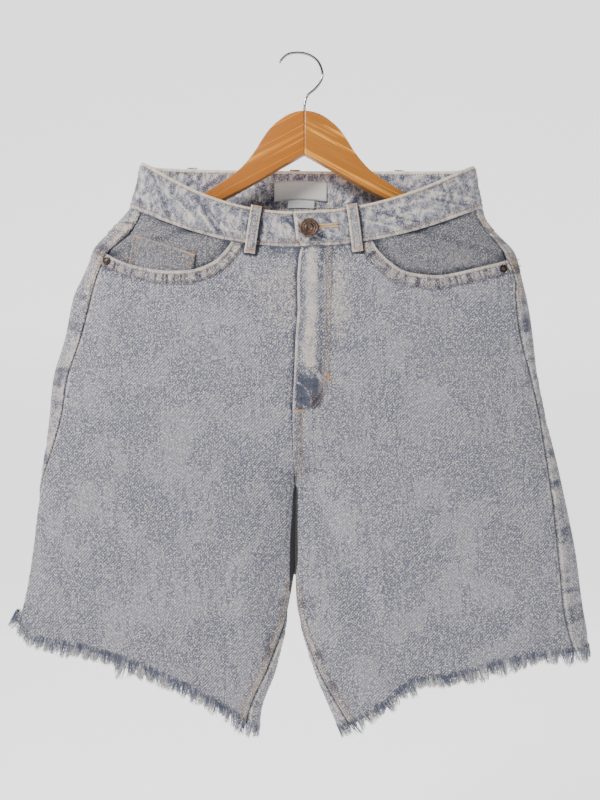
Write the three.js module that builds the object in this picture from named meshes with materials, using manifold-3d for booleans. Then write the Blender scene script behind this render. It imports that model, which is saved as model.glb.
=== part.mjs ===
// Denim shorts on a wooden hanger. Millimetres, +Z up, front towards -Y.
// The origin is the inner top of the hanger's hook, where a rail or a nail holds it.
// "Right" and "left" in the names are the wearer's: the wearer's right is at -X.

import * as THREE from 'three';
import { mergeVertices } from 'three/addons/utils/BufferGeometryUtils.js';
import Module from 'manifold-3d';

const wasm = await Module();
wasm.setup();

// Cloth and seams
const WALL = 1.6;
const BAND_WALL = 2.4;
const LABEL_WALL = 0.6;
const SEAM_GAP = 0.3;
const LAP = WALL + SEAM_GAP;

// Heights: a level is the distance below the waist seam, measured down the centre front
const WAIST_SEAM_Z = -217;
const BAND_TOP_LEVEL = -38;
const CROTCH_LEVEL = 256;
const HEM_LEVEL = 524;
const BACK_RISE = 49;
const CENTRE_X = -5;
const ROUNDNESS = 2.6;
const CROTCH_BLEND = 42;
const THIGHS_PART_FROM = 345;
const THIGHS_PART_TO = 400;
const SIDE_BLEND_FROM = 60;
const SIDE_BLEND_TO = 340;

// Outline: a row for each level, with the side edge of each half, how far in front of it the
// side seam lies, and the inner edge of each leg
const OUTLINE_COLUMNS = [
  'level', 'rightX', 'rightZ', 'rightSeam', 'leftX', 'leftZ', 'leftSeam',
  'rightInner', 'leftInner', 'rightInseam', 'leftInseam',
];
const OUTLINE = table(OUTLINE_COLUMNS, [
  [-38, -174, -120, 14, 193, -124, 12, -5, -5, 0, 0],
  [0, -187, -170, 16, 202, -171, 12, -5, -5, 0, 0],
  [19, -203, -190, 21, 209, -190, 9, -5, -5, 0, 0],
  [39, -225, -214, 19, 233, -214, 13, -5, -5, 0, 0],
  [51, -230, -228, 17, 240, -228, 14, -5, -5, 0, 0],
  [67, -238, -247, 18, 244, -247, 10, -5, -5, 0, 0],
  [83, -247, -267, 22, 249, -267, 15, -5, -5, 0, 0],
  [121, -257, -313, 20, 256, -313, 16, -5, -5, 0, 0],
  [155, -269, -353, 19, 261, -353, 11, -5, -5, 0, 0],
  [191, -274, -397, 17, 269, -397, 9, -5, -5, 0, 0],
  [221, -278, -430, 11, 278, -430, 13, -5, -5, 0, 0],
  [256, -283, -464, 4, 286, -464, 16, -6.5, -2.5, 0, 0],
  [324, -288, -510, 0, 296, -511, 20, -9.5, -2.3, 0, 0],
  [390, -294, -555, 0, 305, -558, 24, -12, -3, 0, 0],
  [458, -302, -600, 0, 311, -606, 25, -25, 15, 9, 5],
  [497, -308, -624, 0, 316, -634, 24, -40, 31, 11, 9],
  [524, -313, -640, 0, 318, -653, 20, -44, 43, 14, 12],
]);

// Half thickness of the hanging shorts, in front of the middle and behind it
const DEPTH = table(['level', 'front', 'back'], [
  [-38, 29, 24],
  [0, 31, 26],
  [51, 33, 28],
  [121, 33, 30],
  [191, 32, 30],
  [256, 30, 28],
  [390, 25, 24],
  [524, 21, 20],
]);

// Places where the hem turns up: the flap at the wearer's right side, and the step where the
// long crease of the left leg meets the hem
const HEM_LIFTS = table(['x', 'width', 'lift', 'reach'], [
  [-316, 15, 26, 60],
  [124, 26, 12, 50],
]);

// Creases: soft troughs (depth above 0) and ridges (below 0), each through three points
const CREASES = table(['face', 'x1', 'z1', 'x2', 'z2', 'x3', 'z3', 'width', 'depth'], [
  ['front', 6, -432, 44, -545, 98, -672, 15, 5.5],
  ['front', 34, -470, 74, -580, 128, -660, 22, -2.5],
  ['front', -300, -612, -240, -606, -190, -604, 8, 2.2],
  ['front', -56, -505, -48, -590, -58, -668, 16, -3],
  ['front', -86, -500, -84, -590, -92, -660, 14, 2.2],
  ['front', -190, -262, -120, -300, -60, -320, 16, 2.0],
  ['front', 200, -268, 130, -306, 60, -330, 16, 2.0],
  ['front', -150, -400, -90, -440, -30, -452, 14, 2.4],
  ['front', 150, -402, 90, -440, 26, -446, 14, 2.2],
  ['front', 230, -330, 214, -430, 236, -540, 18, 2.2],
  ['back', -250, -330, -150, -420, -40, -452, 18, 4.5],
  ['back', 250, -324, 150, -414, 36, -448, 18, 4.8],
  ['back', -210, -372, -120, -462, -34, -500, 14, -2.6],
  ['back', 214, -366, 116, -458, 30, -496, 14, -2.4],
  ['back', -60, -520, -84, -600, -130, -672, 18, 4.2],
  ['back', 60, -520, 92, -604, 150, -664, 17, 3.8],
  ['back', -230, -480, -216, -560, -226, -630, 18, 2.6],
  ['back', 226, -490, 240, -560, 232, -632, 18, 2.4],
]);

// Fly: the wearer's left front laps over the right one
const FLY_BOTTOM_LEVEL = 168;
const FLY_TONGUE = 12;
const FLY_FLAT_X = 10;
const FLY_RAMP_X = 35;

// Front pocket openings, from the waist seam to the side seam
const FACING_COLUMN = 3;
const RIGHT_OPENING = [[-71, -206], [-75, -216], [-90, -232], [-113, -241.5], [-144, -242.5],
  [-168, -238.5], [-186, -233.5], [-203, -225.5], [-222, -213]];
const LEFT_OPENING = [[77, -206], [81, -217], [95, -232], [113, -243.5], [142, -247.5],
  [162, -245.5], [185, -240], [207, -234.5], [222, -230], [240, -222]];
const COIN_POCKET = { topOuter: [-178, -202], topInner: [-111, -225], lower: 34, lean: -5 };

// Back pieces, which have no view in front
const YOKE_SIDE = 13;
const YOKE_CENTRE = 62;
const BACK_POCKET = { centre: 106, topZ: -262, width: 138, side: 128, point: 22, taper: 8 };

// Belt loops: where the top and the bottom of each one lies
const LOOP_WIDTH = 11.5;
const LOOP_TOP_LEVEL = -40;
const LOOP_BOTTOM_LEVEL = 11;
const LOOP_BOW = 3.2;
const LOOPS = table(['name', 'face', 'topX', 'bottomX'], [
  ['belt_loop_front_right', 'front', -45.5, -53],
  ['belt_loop_front_left', 'front', 55.5, 62],
  ['belt_loop_back_right', 'back', -120, -126],
  ['belt_loop_back_left', 'back', 112, 118],
  ['belt_loop_back_centre', 'back', -5, -5],
]);

// Fastenings and label
const BUTTON = { x: 10.5, z: -198, radius: 10, height: 4.6 };
const RIVET_RADIUS = 4.7;
const RIVET_HEIGHT = 2.4;
const RIVETS = table(['name', 'x', 'z'], [
  ['rivet_right', -207, -231],
  ['rivet_left', 219.5, -239],
]);
const LABELS = table(['name', 'x1', 'x2', 'topLevel', 'bottomLevel', 'stand'], [
  ['label', -28.5, 31, -29, -11, 0],
  ['label_strip', -13, 17, -10.6, -3, 0],
]);

// Fringe: locks of loose yarn under each hem
const FRINGE_STRIP = 2.2;
const FRINGE_WALL = 1.1;
const LOCK_SPACING = 5.6;
const LOCK_SHORTEST = 6;
const LOCK_LONGEST = 15;
const LOCK_LEAN = 5;

// Hanger: the two arms are one profile, mirrored about the neck
const NECK_X = 5.5;
const ARM_THICKNESS = 12;
const ARM_EDGE = 1.6;
const ARM_SWEEP = -2.5;
const MITRE_GAP = 0.15;
const ARM = table(['out', 'top', 'bottom'], [
  [0, -63.5, -111],
  [10, -65, -116.6],
  [20, -69, -122.2],
  [30, -76, -127.8],
  [38, -83.5, -133],
  [46, -94.5, -137.5],
  [53, -106, -141.5],
  [62, -118, -146.5],
  [72, -128.5, -152],
  [86, -139, -159.5],
  [106, -151.5, -170],
  [150, -177.5, -196],
  [192, -201.5, -219.5],
  [218, -216.5, -232.5],
  [226, -222, -233],
]);
const HOOK_RADIUS = 1.4;
const HOOK_CLEARANCE = 0.3;
const HOOK_PATH = [[-22, -10], [-19, -5.5], [-12, 0], [0, 1.4], [12, -1.5], [21, -9], [25.3, -20.5],
  [23.5, -30], [17, -38.5], [9.5, -45], [6.2, -53], [5.5, -62], [5.5, -74], [5.5, -86]];

// Colours
const DENIM = { color: 0xa5a8b4, roughness: 0.95, metalness: 0 };
const DENIM_SHADE = { color: 0x8e94a6, roughness: 0.95, metalness: 0 };
const YARN = { color: 0xd9dce2, roughness: 1, metalness: 0 };
const WOOD = { color: 0xc07a38, roughness: 0.5, metalness: 0 };
const STEEL = { color: 0xb8b8bc, roughness: 0.25, metalness: 1 };
const COPPER = { color: 0x6d4a3c, roughness: 0.4, metalness: 0.9 };
const LABEL_CLOTH = { color: 0xb9bcc2, roughness: 0.8, metalness: 0 };

function table(columns, rows) {
  return rows.map((row) => Object.fromEntries(columns.map((name, i) => [name, row[i]])));
}

function lerp(a, b, share) {
  return a + (b - a) * share;
}

function clamp(value, low, high) {
  return Math.min(high, Math.max(low, value));
}

function smoothstep(value, low, high) {
  const share = clamp((value - low) / (high - low), 0, 1);
  return share * share * (3 - 2 * share);
}

// The value of a table's column at a level, on a smooth curve through the rows
function columnAt(rows, name, level) {
  const last = rows.length - 1;
  let i = rows.findIndex((row) => row.level > level) - 1;
  if (i === -2) i = last - 1;
  i = clamp(i, 0, last - 1);
  const slope = (k) => {
    const before = rows[Math.max(k - 1, 0)];
    const after = rows[Math.min(k + 1, last)];
    return (after[name] - before[name]) / (after.level - before.level);
  };
  const span = rows[i + 1].level - rows[i].level;
  const s = (level - rows[i].level) / span;
  if (s < 0) return rows[i][name] + slope(i) * s * span;
  if (s > 1) return rows[i + 1][name] + slope(i + 1) * (s - 1) * span;
  const rise = rows[i + 1][name] - rows[i][name];
  const m0 = slope(i) * span;
  const m1 = slope(i + 1) * span;
  return rows[i][name] + s * (m0 + s * (3 * rise - 2 * m0 - m1 + s * (m0 + m1 - 2 * rise)));
}

// One half of the shorts at one level: sizes of its ring
function ringSizes(half, level) {
  return {
    outerX: columnAt(OUTLINE, half.name + 'X', level),
    outerZ: columnAt(OUTLINE, half.name + 'Z', level),
    innerX: level < CROTCH_LEVEL - CROTCH_BLEND
      ? CENTRE_X : columnAt(OUTLINE, half.name + 'Inner', level),
    innerZ: WAIST_SEAM_Z - level,
    front: columnAt(DEPTH, 'front', level),
    back: columnAt(DEPTH, 'back', level),
    bow: clamp(1 - level / CROTCH_LEVEL, -1, 1),
    rise: level < CROTCH_LEVEL ? BACK_RISE * (1 - level / CROTCH_LEVEL) : 0,
  };
}

// The ring as a share across (0 inner edge, 1 side) and a share of depth (-1 front, 1 back).
// t is 0 at the centre front or inner edge of the leg, 0.5 at the side and 1 at the back
function ringShape(t, level) {
  const outward = smoothstep(1 - Math.abs(2 * t - 1), 0.1, 0.7);
  const quick = smoothstep(level, CROTCH_LEVEL - CROTCH_BLEND, CROTCH_LEVEL);
  const closed = lerp(quick, smoothstep(level, SIDE_BLEND_FROM, SIDE_BLEND_TO), outward);
  const power = 2 / ROUNDNESS;
  const rounded = (value) => Math.sign(value) * Math.abs(value) ** power;
  const open = clamp(t, 0, 1);
  const openAngle = Math.PI * (open - 0.5);
  const beyond = t < 0 ? -t : Math.max(t - 1, 0);
  const openAcross = rounded(Math.cos(openAngle)) - 2 * beyond;
  const openDepth = rounded(Math.sin(openAngle));
  const closedAngle = Math.PI * (2 * t - 1);
  const closedAcross = 0.5 + 0.5 * rounded(Math.cos(closedAngle));
  const closedDepth = rounded(Math.sin(closedAngle));
  return {
    across: lerp(openAcross, closedAcross, closed),
    depth: lerp(openDepth, closedDepth, closed),
  };
}

function creaseShift(face, x, z) {
  let shift = 0;
  for (const crease of CREASES) {
    if (crease.face !== face) continue;
    const corners = [[crease.x1, crease.z1], [crease.x2, crease.z2], [crease.x3, crease.z3]];
    let nearest = Infinity;
    let along = 0;
    for (let k = 0; k < 2; k += 1) {
      const [ax, az] = corners[k];
      const dx = corners[k + 1][0] - ax;
      const dz = corners[k + 1][1] - az;
      const share = clamp(((x - ax) * dx + (z - az) * dz) / (dx * dx + dz * dz), 0, 1);
      const distance = Math.hypot(x - ax - share * dx, z - az - share * dz);
      if (distance < nearest) {
        nearest = distance;
        along = (k + share) / 2;
      }
    }
    const fade = Math.sin(Math.PI * clamp(0.08 + 0.84 * along, 0, 1));
    shift += crease.depth * fade * Math.exp(-((nearest / crease.width) ** 2));
  }
  return shift;
}

// A point of the outer surface
function surfacePoint(half, level, t) {
  const ring = ringSizes(half, level);
  const shape = ringShape(t, level);
  // Behind, the two thighs lie against each other down to where they part
  const joined = 1 - smoothstep(level, THIGHS_PART_FROM, THIGHS_PART_TO);
  const touching = smoothstep(shape.depth, -0.5, 0.5) * joined * (level < CROTCH_LEVEL ? 0 : 1);
  const innerX = lerp(ring.innerX, CENTRE_X + half.side * SEAM_GAP, touching);
  const x = innerX + (ring.outerX - innerX) * shape.across;
  const share = clamp(shape.across, 0, 1);
  const backShare = smoothstep(shape.depth, -1, 1);
  const innerZ = ring.innerZ + ring.rise * backShare;
  const bow = lerp(ring.bow, ring.bow * 0.4, backShare);
  let z = innerZ + (ring.outerZ - innerZ) * (share - bow * share * (1 - share));
  for (const place of HEM_LIFTS) {
    const near = Math.exp(-(((x - place.x) / place.width) ** 2));
    z += place.lift * near * smoothstep(level, HEM_LEVEL - place.reach, HEM_LEVEL);
  }
  const depth = shape.depth < 0 ? ring.front : ring.back;
  const face = shape.depth < 0 ? 'front' : 'back';
  const inward = -Math.sign(shape.depth) * smoothstep(Math.abs(shape.depth), 0.1, 0.7);
  return new THREE.Vector3(x, shape.depth * depth + inward * creaseShift(face, x, z), z);
}

// The point and its outward direction
function surfaceFrame(half, level, t) {
  const step = 0.004;
  const reach = 0.8;
  const point = surfacePoint(half, level, t);
  const across = surfacePoint(half, level, t + step).sub(surfacePoint(half, level, t - step));
  const down = surfacePoint(half, level + reach, t).sub(surfacePoint(half, level - reach, t));
  const normal = across.cross(down).normalize().multiplyScalar(-half.side);
  return { point, normal };
}

function offsetPoint(frame, outward) {
  return frame.point.clone().addScaledVector(frame.normal, outward);
}

// How far the overlapping front stands out over the other one
function flyLift(half, level, x) {
  if (half.side < 0) return 0;
  const across = 1 - smoothstep(x, FLY_FLAT_X, FLY_RAMP_X);
  return LAP * across * (1 - smoothstep(level, FLY_BOTTOM_LEVEL + 4, FLY_BOTTOM_LEVEL + 24));
}

// The ring share at which the front or back of a half crosses x
function shareAtX(half, level, x, face) {
  let low = face === 'front' ? 0 : 0.5;
  let high = face === 'front' ? 0.5 : 1;
  const growing = face === 'front' ? 1 : -1;
  for (let k = 0; k < 26; k += 1) {
    const middle = (low + high) / 2;
    const further = (surfacePoint(half, level, middle).x - x) * half.side * growing;
    if (further < 0) low = middle;
    else high = middle;
  }
  return (low + high) / 2;
}

function sideSeamShare(half, level) {
  const inset = Math.max(columnAt(OUTLINE, half.name + 'Seam', level), 0);
  if (inset < 0.5) return 0.5;
  return shareAtX(half, level, columnAt(OUTLINE, half.name + 'X', level) - half.side * inset, 'front');
}

function inseamShare(half, level) {
  const inset = columnAt(OUTLINE, half.name + 'Inseam', level);
  if (level < CROTCH_LEVEL || inset < 0.3) return 0;
  const x = columnAt(OUTLINE, half.name + 'Inner', level) + half.side * inset;
  return shareAtX(half, level, x, 'front');
}

// The share of a ring that is as long as a distance in millimetres
function shareOfLength(half, level, t, length) {
  const step = 0.01;
  const a = surfacePoint(half, level, t);
  const b = surfacePoint(half, level, t + (t > 0.9 ? -step : step));
  return (length * step) / a.distanceTo(b);
}

function geometryFrom(positions, triangles) {
  const geometry = new THREE.BufferGeometry();
  geometry.setAttribute('position', new THREE.Float32BufferAttribute(positions, 3));
  geometry.setIndex(triangles);
  return geometry;
}

function signedVolume(positions, triangles) {
  let volume = 0;
  const corner = (k) => new THREE.Vector3().fromArray(positions, 3 * triangles[k]);
  for (let k = 0; k < triangles.length; k += 3) {
    volume += corner(k).dot(corner(k + 1).cross(corner(k + 2)));
  }
  return volume / 6;
}

// A sheet with a thickness: outer and inner are grids of points, a row for each level
function gridSolid(outer, inner) {
  const rows = outer.length;
  const columns = outer[0].length;
  const positions = [];
  for (const grid of [outer, inner]) {
    for (const row of grid) {
      for (const point of row) positions.push(point.x, point.y, point.z);
    }
  }
  const index = (layer, r, c) => layer * rows * columns + r * columns + c;
  const triangles = [];
  const quad = (a, b, c, d) => triangles.push(a, b, c, a, c, d);
  for (let r = 0; r < rows - 1; r += 1) {
    for (let c = 0; c < columns - 1; c += 1) {
      quad(index(0, r, c), index(0, r + 1, c), index(0, r + 1, c + 1), index(0, r, c + 1));
      quad(index(1, r, c), index(1, r, c + 1), index(1, r + 1, c + 1), index(1, r + 1, c));
    }
  }
  for (let c = 0; c < columns - 1; c += 1) {
    const end = rows - 1;
    quad(index(0, 0, c), index(0, 0, c + 1), index(1, 0, c + 1), index(1, 0, c));
    quad(index(0, end, c), index(1, end, c), index(1, end, c + 1), index(0, end, c + 1));
  }
  for (let r = 0; r < rows - 1; r += 1) {
    const end = columns - 1;
    quad(index(0, r, 0), index(1, r, 0), index(1, r + 1, 0), index(0, r + 1, 0));
    quad(index(0, r, end), index(0, r + 1, end), index(1, r + 1, end), index(1, r, end));
  }
  if (signedVolume(positions, triangles) < 0) triangles.reverse();
  return geometryFrom(positions, triangles);
}

// A cloth piece on the surface. place(v, w) gives the half, the level, the share and the
// outward offset of each point, where v runs down and w across
function clothPiece(downs, columns, place, wall) {
  const outer = [];
  const inner = [];
  for (const v of downs) {
    const outerRow = [];
    const innerRow = [];
    for (let c = 0; c <= columns; c += 1) {
      const at = place(v, c / columns);
      const frame = surfaceFrame(at.half, at.level, at.t);
      outerRow.push(offsetPoint(frame, at.offset));
      innerRow.push(offsetPoint(frame, at.offset - wall));
    }
    outer.push(outerRow);
    inner.push(innerRow);
  }
  return gridSolid(outer, inner);
}

function evenSteps(count) {
  return Array.from({ length: count + 1 }, (_, i) => i / count);
}

function toManifold(geometry) {
  const bare = geometry.clone();
  bare.deleteAttribute('normal');
  bare.deleteAttribute('uv');
  const merged = mergeVertices(bare, 1e-4);
  return new wasm.Manifold(new wasm.Mesh({
    numProp: 3,
    vertProperties: new Float32Array(merged.attributes.position.array),
    triVerts: new Uint32Array(merged.index.array),
  }));
}

function fromManifold(solid) {
  const mesh = solid.getMesh();
  const positions = [];
  for (let i = 0; i < mesh.vertProperties.length; i += mesh.numProp) {
    positions.push(...mesh.vertProperties.slice(i, i + 3));
  }
  return geometryFrom(positions, Array.from(mesh.triVerts));
}

function named(name, geometry, look) {
  const shown = geometry.index ? geometry.toNonIndexed() : geometry;
  shown.computeVertexNormals();
  const mesh = new THREE.Mesh(shown, new THREE.MeshStandardMaterial(look));
  mesh.name = name;
  return mesh;
}

const HALVES = {
  right: { name: 'right', side: -1 },
  left: { name: 'left', side: 1 },
};

function halfAt(x) {
  return x < CENTRE_X ? HALVES.right : HALVES.left;
}

// The level at which the surface over x has height z
function levelAtHeight(half, x, z, face) {
  let low = BAND_TOP_LEVEL;
  let high = HEM_LEVEL;
  for (let k = 0; k < 24; k += 1) {
    const middle = (low + high) / 2;
    const t = shareAtX(half, middle, x, face);
    if (surfacePoint(half, middle, t).z > z) low = middle;
    else high = middle;
  }
  return (low + high) / 2;
}

// The front opening of a pocket as a prism through the front wall
function openingPrism(points, raise) {
  const curve = new THREE.SplineCurve(points.map(([x, z]) => new THREE.Vector2(x, z + raise)));
  const edge = curve.getPoints(28).map((point) => [point.x, point.y]);
  const side = Math.sign(points[points.length - 1][0] - CENTRE_X) * 280;
  const top = -120;
  return prism([...edge, [side, edge[edge.length - 1][1]], [side, top], [edge[0][0], top]], -60, 5);
}

// Rows of the panels: front and back share them, so that their seam edges match
const PANEL_LEVELS = [0.2, 6.6, 13, 36, 60, 88, 120, 146, 162, 168, 190, 214, 226, 238, 248, 256,
  290, 330, 370, 410, 450, 488, 510, 524];
const SHARED_FROM = 214;
const FRONT_COLUMNS = 13;
const BACK_COLUMNS = 18;
const BAND_LEVELS = [BAND_TOP_LEVEL, -28, -19, -9, -0.2];

// The share at which an even walk from start to end along the ring has gone a part w of the way
function walkedShare(half, level, start, end, w) {
  const steps = 32;
  const lengths = [0];
  let before = surfacePoint(half, level, start);
  for (let k = 1; k <= steps; k += 1) {
    const point = surfacePoint(half, level, lerp(start, end, k / steps));
    lengths.push(lengths[k - 1] + point.distanceTo(before));
    before = point;
  }
  const target = w * lengths[steps];
  const k = clamp(lengths.findIndex((length) => length >= target), 1, steps);
  const share = (target - lengths[k - 1]) / (lengths[k] - lengths[k - 1]);
  return lerp(start, end, (k - 1 + share) / steps);
}

function frontShare(half, level, w) {
  const tongue = half.side < 0 && level < FLY_BOTTOM_LEVEL - 3;
  const gap = shareOfLength(half, level, 0.02, SEAM_GAP / 2);
  const tongueShare = FLY_TONGUE / (2 * Math.abs(columnAt(OUTLINE, half.name + 'X', level)));
  const start = tongue ? -tongueShare : inseamShare(half, level) + gap;
  const seam = sideSeamShare(half, level);
  const end = seam - shareOfLength(half, level, seam, SEAM_GAP / 2);
  return walkedShare(half, level, start, end, w);
}

function backShare(half, level, w) {
  const seam = sideSeamShare(half, level);
  const start = seam + shareOfLength(half, level, seam, SEAM_GAP / 2);
  const gap = shareOfLength(half, level, 0.98, SEAM_GAP / 2);
  return walkedShare(half, level, start, 1 + inseamShare(half, level) - gap, w);
}

// A stretch of the front panel's own grid, moved outward by offset
function frontLayer(half, rows, firstColumn, offset) {
  const columns = FRONT_COLUMNS - firstColumn;
  const place = (level, w) => {
    const t = frontShare(half, level, (firstColumn + columns * w) / FRONT_COLUMNS);
    const x = surfacePoint(half, level, t).x;
    return { half, level, t, offset: offset + flyLift(half, level, x) };
  };
  return clothPiece(rows, columns, place, WALL);
}

function frontPanel(half) {
  const solid = toManifold(frontLayer(half, PANEL_LEVELS, 0, 0));
  const opening = half.side < 0 ? RIGHT_OPENING : LEFT_OPENING;
  return fromManifold(solid.subtract(openingPrism(opening, 0)));
}

// The cloth seen inside a front pocket
function pocketFacing(half) {
  return frontLayer(half, PANEL_LEVELS.filter((level) => level < 100), FACING_COLUMN, -LAP);
}

// An outline in front view as a prism that reaches from y1 to y2
function prism(points, y1, y2) {
  const shape = new THREE.Shape(points.map(([x, z]) => new THREE.Vector2(x, z)));
  const geometry = new THREE.ExtrudeGeometry(shape, { depth: y2 - y1, bevelEnabled: false });
  geometry.rotateX(Math.PI / 2);
  geometry.translate(0, y2, 0);
  return toManifold(geometry);
}

function coinPocket() {
  const { topOuter, topInner, lower, lean } = COIN_POCKET;
  const rows = PANEL_LEVELS.filter((level) => level < 100);
  const sheet = toManifold(frontLayer(HALVES.right, rows, FACING_COLUMN, 0));
  const outline = prism([topOuter, topInner, [topInner[0] + lean, topInner[1] - lower],
    [topOuter[0] + lean, topOuter[1] - lower]], -60, 0);
  const inside = openingPrism(RIGHT_OPENING, SEAM_GAP + 0.2);
  return fromManifold(sheet.intersect(outline).intersect(inside));
}

function yokeLevel(w) {
  return lerp(YOKE_SIDE, YOKE_CENTRE, w ** 1.3);
}

// A stretch of the back panel's own grid, moved outward by offset
function backLayer(half, rows, offset) {
  const place = (row, w) => {
    const share = (row - YOKE_SIDE) / (SHARED_FROM - YOKE_SIDE);
    const top = yokeLevel(w) + SEAM_GAP / 2;
    const level = row < SHARED_FROM ? lerp(top, SHARED_FROM, share) : row;
    return { half, level, t: backShare(half, level, w), offset };
  };
  return clothPiece(rows, BACK_COLUMNS, place, WALL);
}

function backPanel(half) {
  return backLayer(half, PANEL_LEVELS.filter((level) => level >= YOKE_SIDE), 0);
}

function yoke(half) {
  const place = (v, w) => {
    const level = lerp(0.2, yokeLevel(w) - SEAM_GAP / 2, v);
    return { half, level, t: backShare(half, level, w), offset: 0 };
  };
  return clothPiece([0, 0.5, 1], BACK_COLUMNS, place, WALL);
}

function backPocket(half) {
  const { centre, topZ, width, side, point, taper } = BACK_POCKET;
  const middle = CENTRE_X + half.side * centre;
  const top = width / 2;
  const low = top - taper;
  const outline = prism([[middle - top, topZ], [middle + top, topZ], [middle + low, topZ - side],
    [middle, topZ - side - point], [middle - low, topZ - side]], 5, 60);
  const rows = PANEL_LEVELS.filter((level) => level >= YOKE_SIDE && level < 300);
  return fromManifold(toManifold(backLayer(half, rows, LAP)).intersect(outline));
}

function frontBand(half) {
  const place = (level, w) => {
    const tongue = half.side < 0;
    const length = 2 * Math.abs(columnAt(OUTLINE, half.name + 'X', level));
    const start = tongue ? -FLY_TONGUE / length : shareOfLength(half, level, 0.02, SEAM_GAP / 2);
    const end = 0.5 - shareOfLength(half, level, 0.5, SEAM_GAP / 2);
    const t = walkedShare(half, level, start, end, w);
    const x = surfacePoint(half, level, t).x;
    return { half, level, t, offset: flyLift(half, level, x) };
  };
  return clothPiece(BAND_LEVELS, 16, place, WALL);
}

// The back waistband runs from side to side in one piece
function backBand() {
  const place = (level, w) => {
    const half = w < 0.5 ? HALVES.right : HALVES.left;
    const start = 0.5 + shareOfLength(half, level, 0.5, SEAM_GAP / 2);
    const t = walkedShare(half, level, start, 1, 1 - Math.abs(2 * w - 1));
    return { half, level, t, offset: 0 };
  };
  return clothPiece(BAND_LEVELS, 28, place, BAND_WALL);
}

function onSurfaceAtX(face, x, level, offset) {
  const half = halfAt(x);
  const t = shareAtX(half, level, x, face);
  const lift = face === 'front' ? flyLift(half, level, x) : 0;
  return { half, level, t, offset: offset + lift };
}

function beltLoop(loop) {
  const place = (v, w) => {
    const level = lerp(LOOP_TOP_LEVEL, LOOP_BOTTOM_LEVEL, v);
    const x = lerp(loop.topX, loop.bottomX, v) + LOOP_WIDTH * (w - 0.5);
    const bow = LOOP_BOW * Math.sin(Math.PI * v) ** 0.8;
    return onSurfaceAtX(loop.face, x, level, WALL + SEAM_GAP + bow);
  };
  return clothPiece(evenSteps(8), 2, place, WALL);
}

function labelPiece(label) {
  const place = (v, w) => {
    const level = lerp(label.topLevel, label.bottomLevel, v);
    const x = lerp(label.x1, label.x2, w);
    return onSurfaceAtX('back', x, level, -BAND_WALL - SEAM_GAP - label.stand);
  };
  return clothPiece(evenSteps(1), 6, place, LABEL_WALL);
}

function lathe(profile, segments) {
  return new THREE.LatheGeometry(profile.map(([r, h]) => new THREE.Vector2(r, h)), segments);
}

// A turned piece that stands on the cloth, with its axis along the outward direction
function seated(geometry, x, z, clearance) {
  const half = halfAt(x);
  const level = levelAtHeight(half, x, z, 'front');
  const t = shareAtX(half, level, x, 'front');
  const frame = surfaceFrame(half, level, t);
  const base = offsetPoint(frame, flyLift(half, level, x) + clearance);
  const turn = new THREE.Quaternion().setFromUnitVectors(new THREE.Vector3(0, 1, 0), frame.normal);
  return geometry.applyQuaternion(turn).translate(base.x, base.y, base.z);
}

function button() {
  const r = BUTTON.radius;
  const h = BUTTON.height;
  const profile = [[0, 0], [r * 0.42, 0], [r * 0.42, h * 0.4], [r * 0.94, h * 0.4], [r, h * 0.58],
    [r, h * 0.82], [r * 0.93, h], [r * 0.8, h], [r * 0.7, h * 0.84], [r * 0.34, h * 0.84],
    [r * 0.28, h * 0.95], [0, h * 0.95]];
  return seated(lathe(profile, 24), BUTTON.x, BUTTON.z, SEAM_GAP + 0.1);
}

function rivet(place) {
  const r = RIVET_RADIUS;
  const h = RIVET_HEIGHT;
  const profile = [[0, 0], [r, 0], [r, h * 0.4], [r * 0.82, h * 0.72], [r * 0.5, h * 0.72],
    [r * 0.42, h], [0, h]];
  return seated(lathe(profile, 16), place.x, place.z, SEAM_GAP - 0.2);
}

// A repeatable stream of numbers from 0 to 1
function numberStream(seed) {
  let state = seed;
  return () => {
    state = (state * 1664525 + 1013904223) % 4294967296;
    return state / 4294967296;
  };
}

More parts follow.
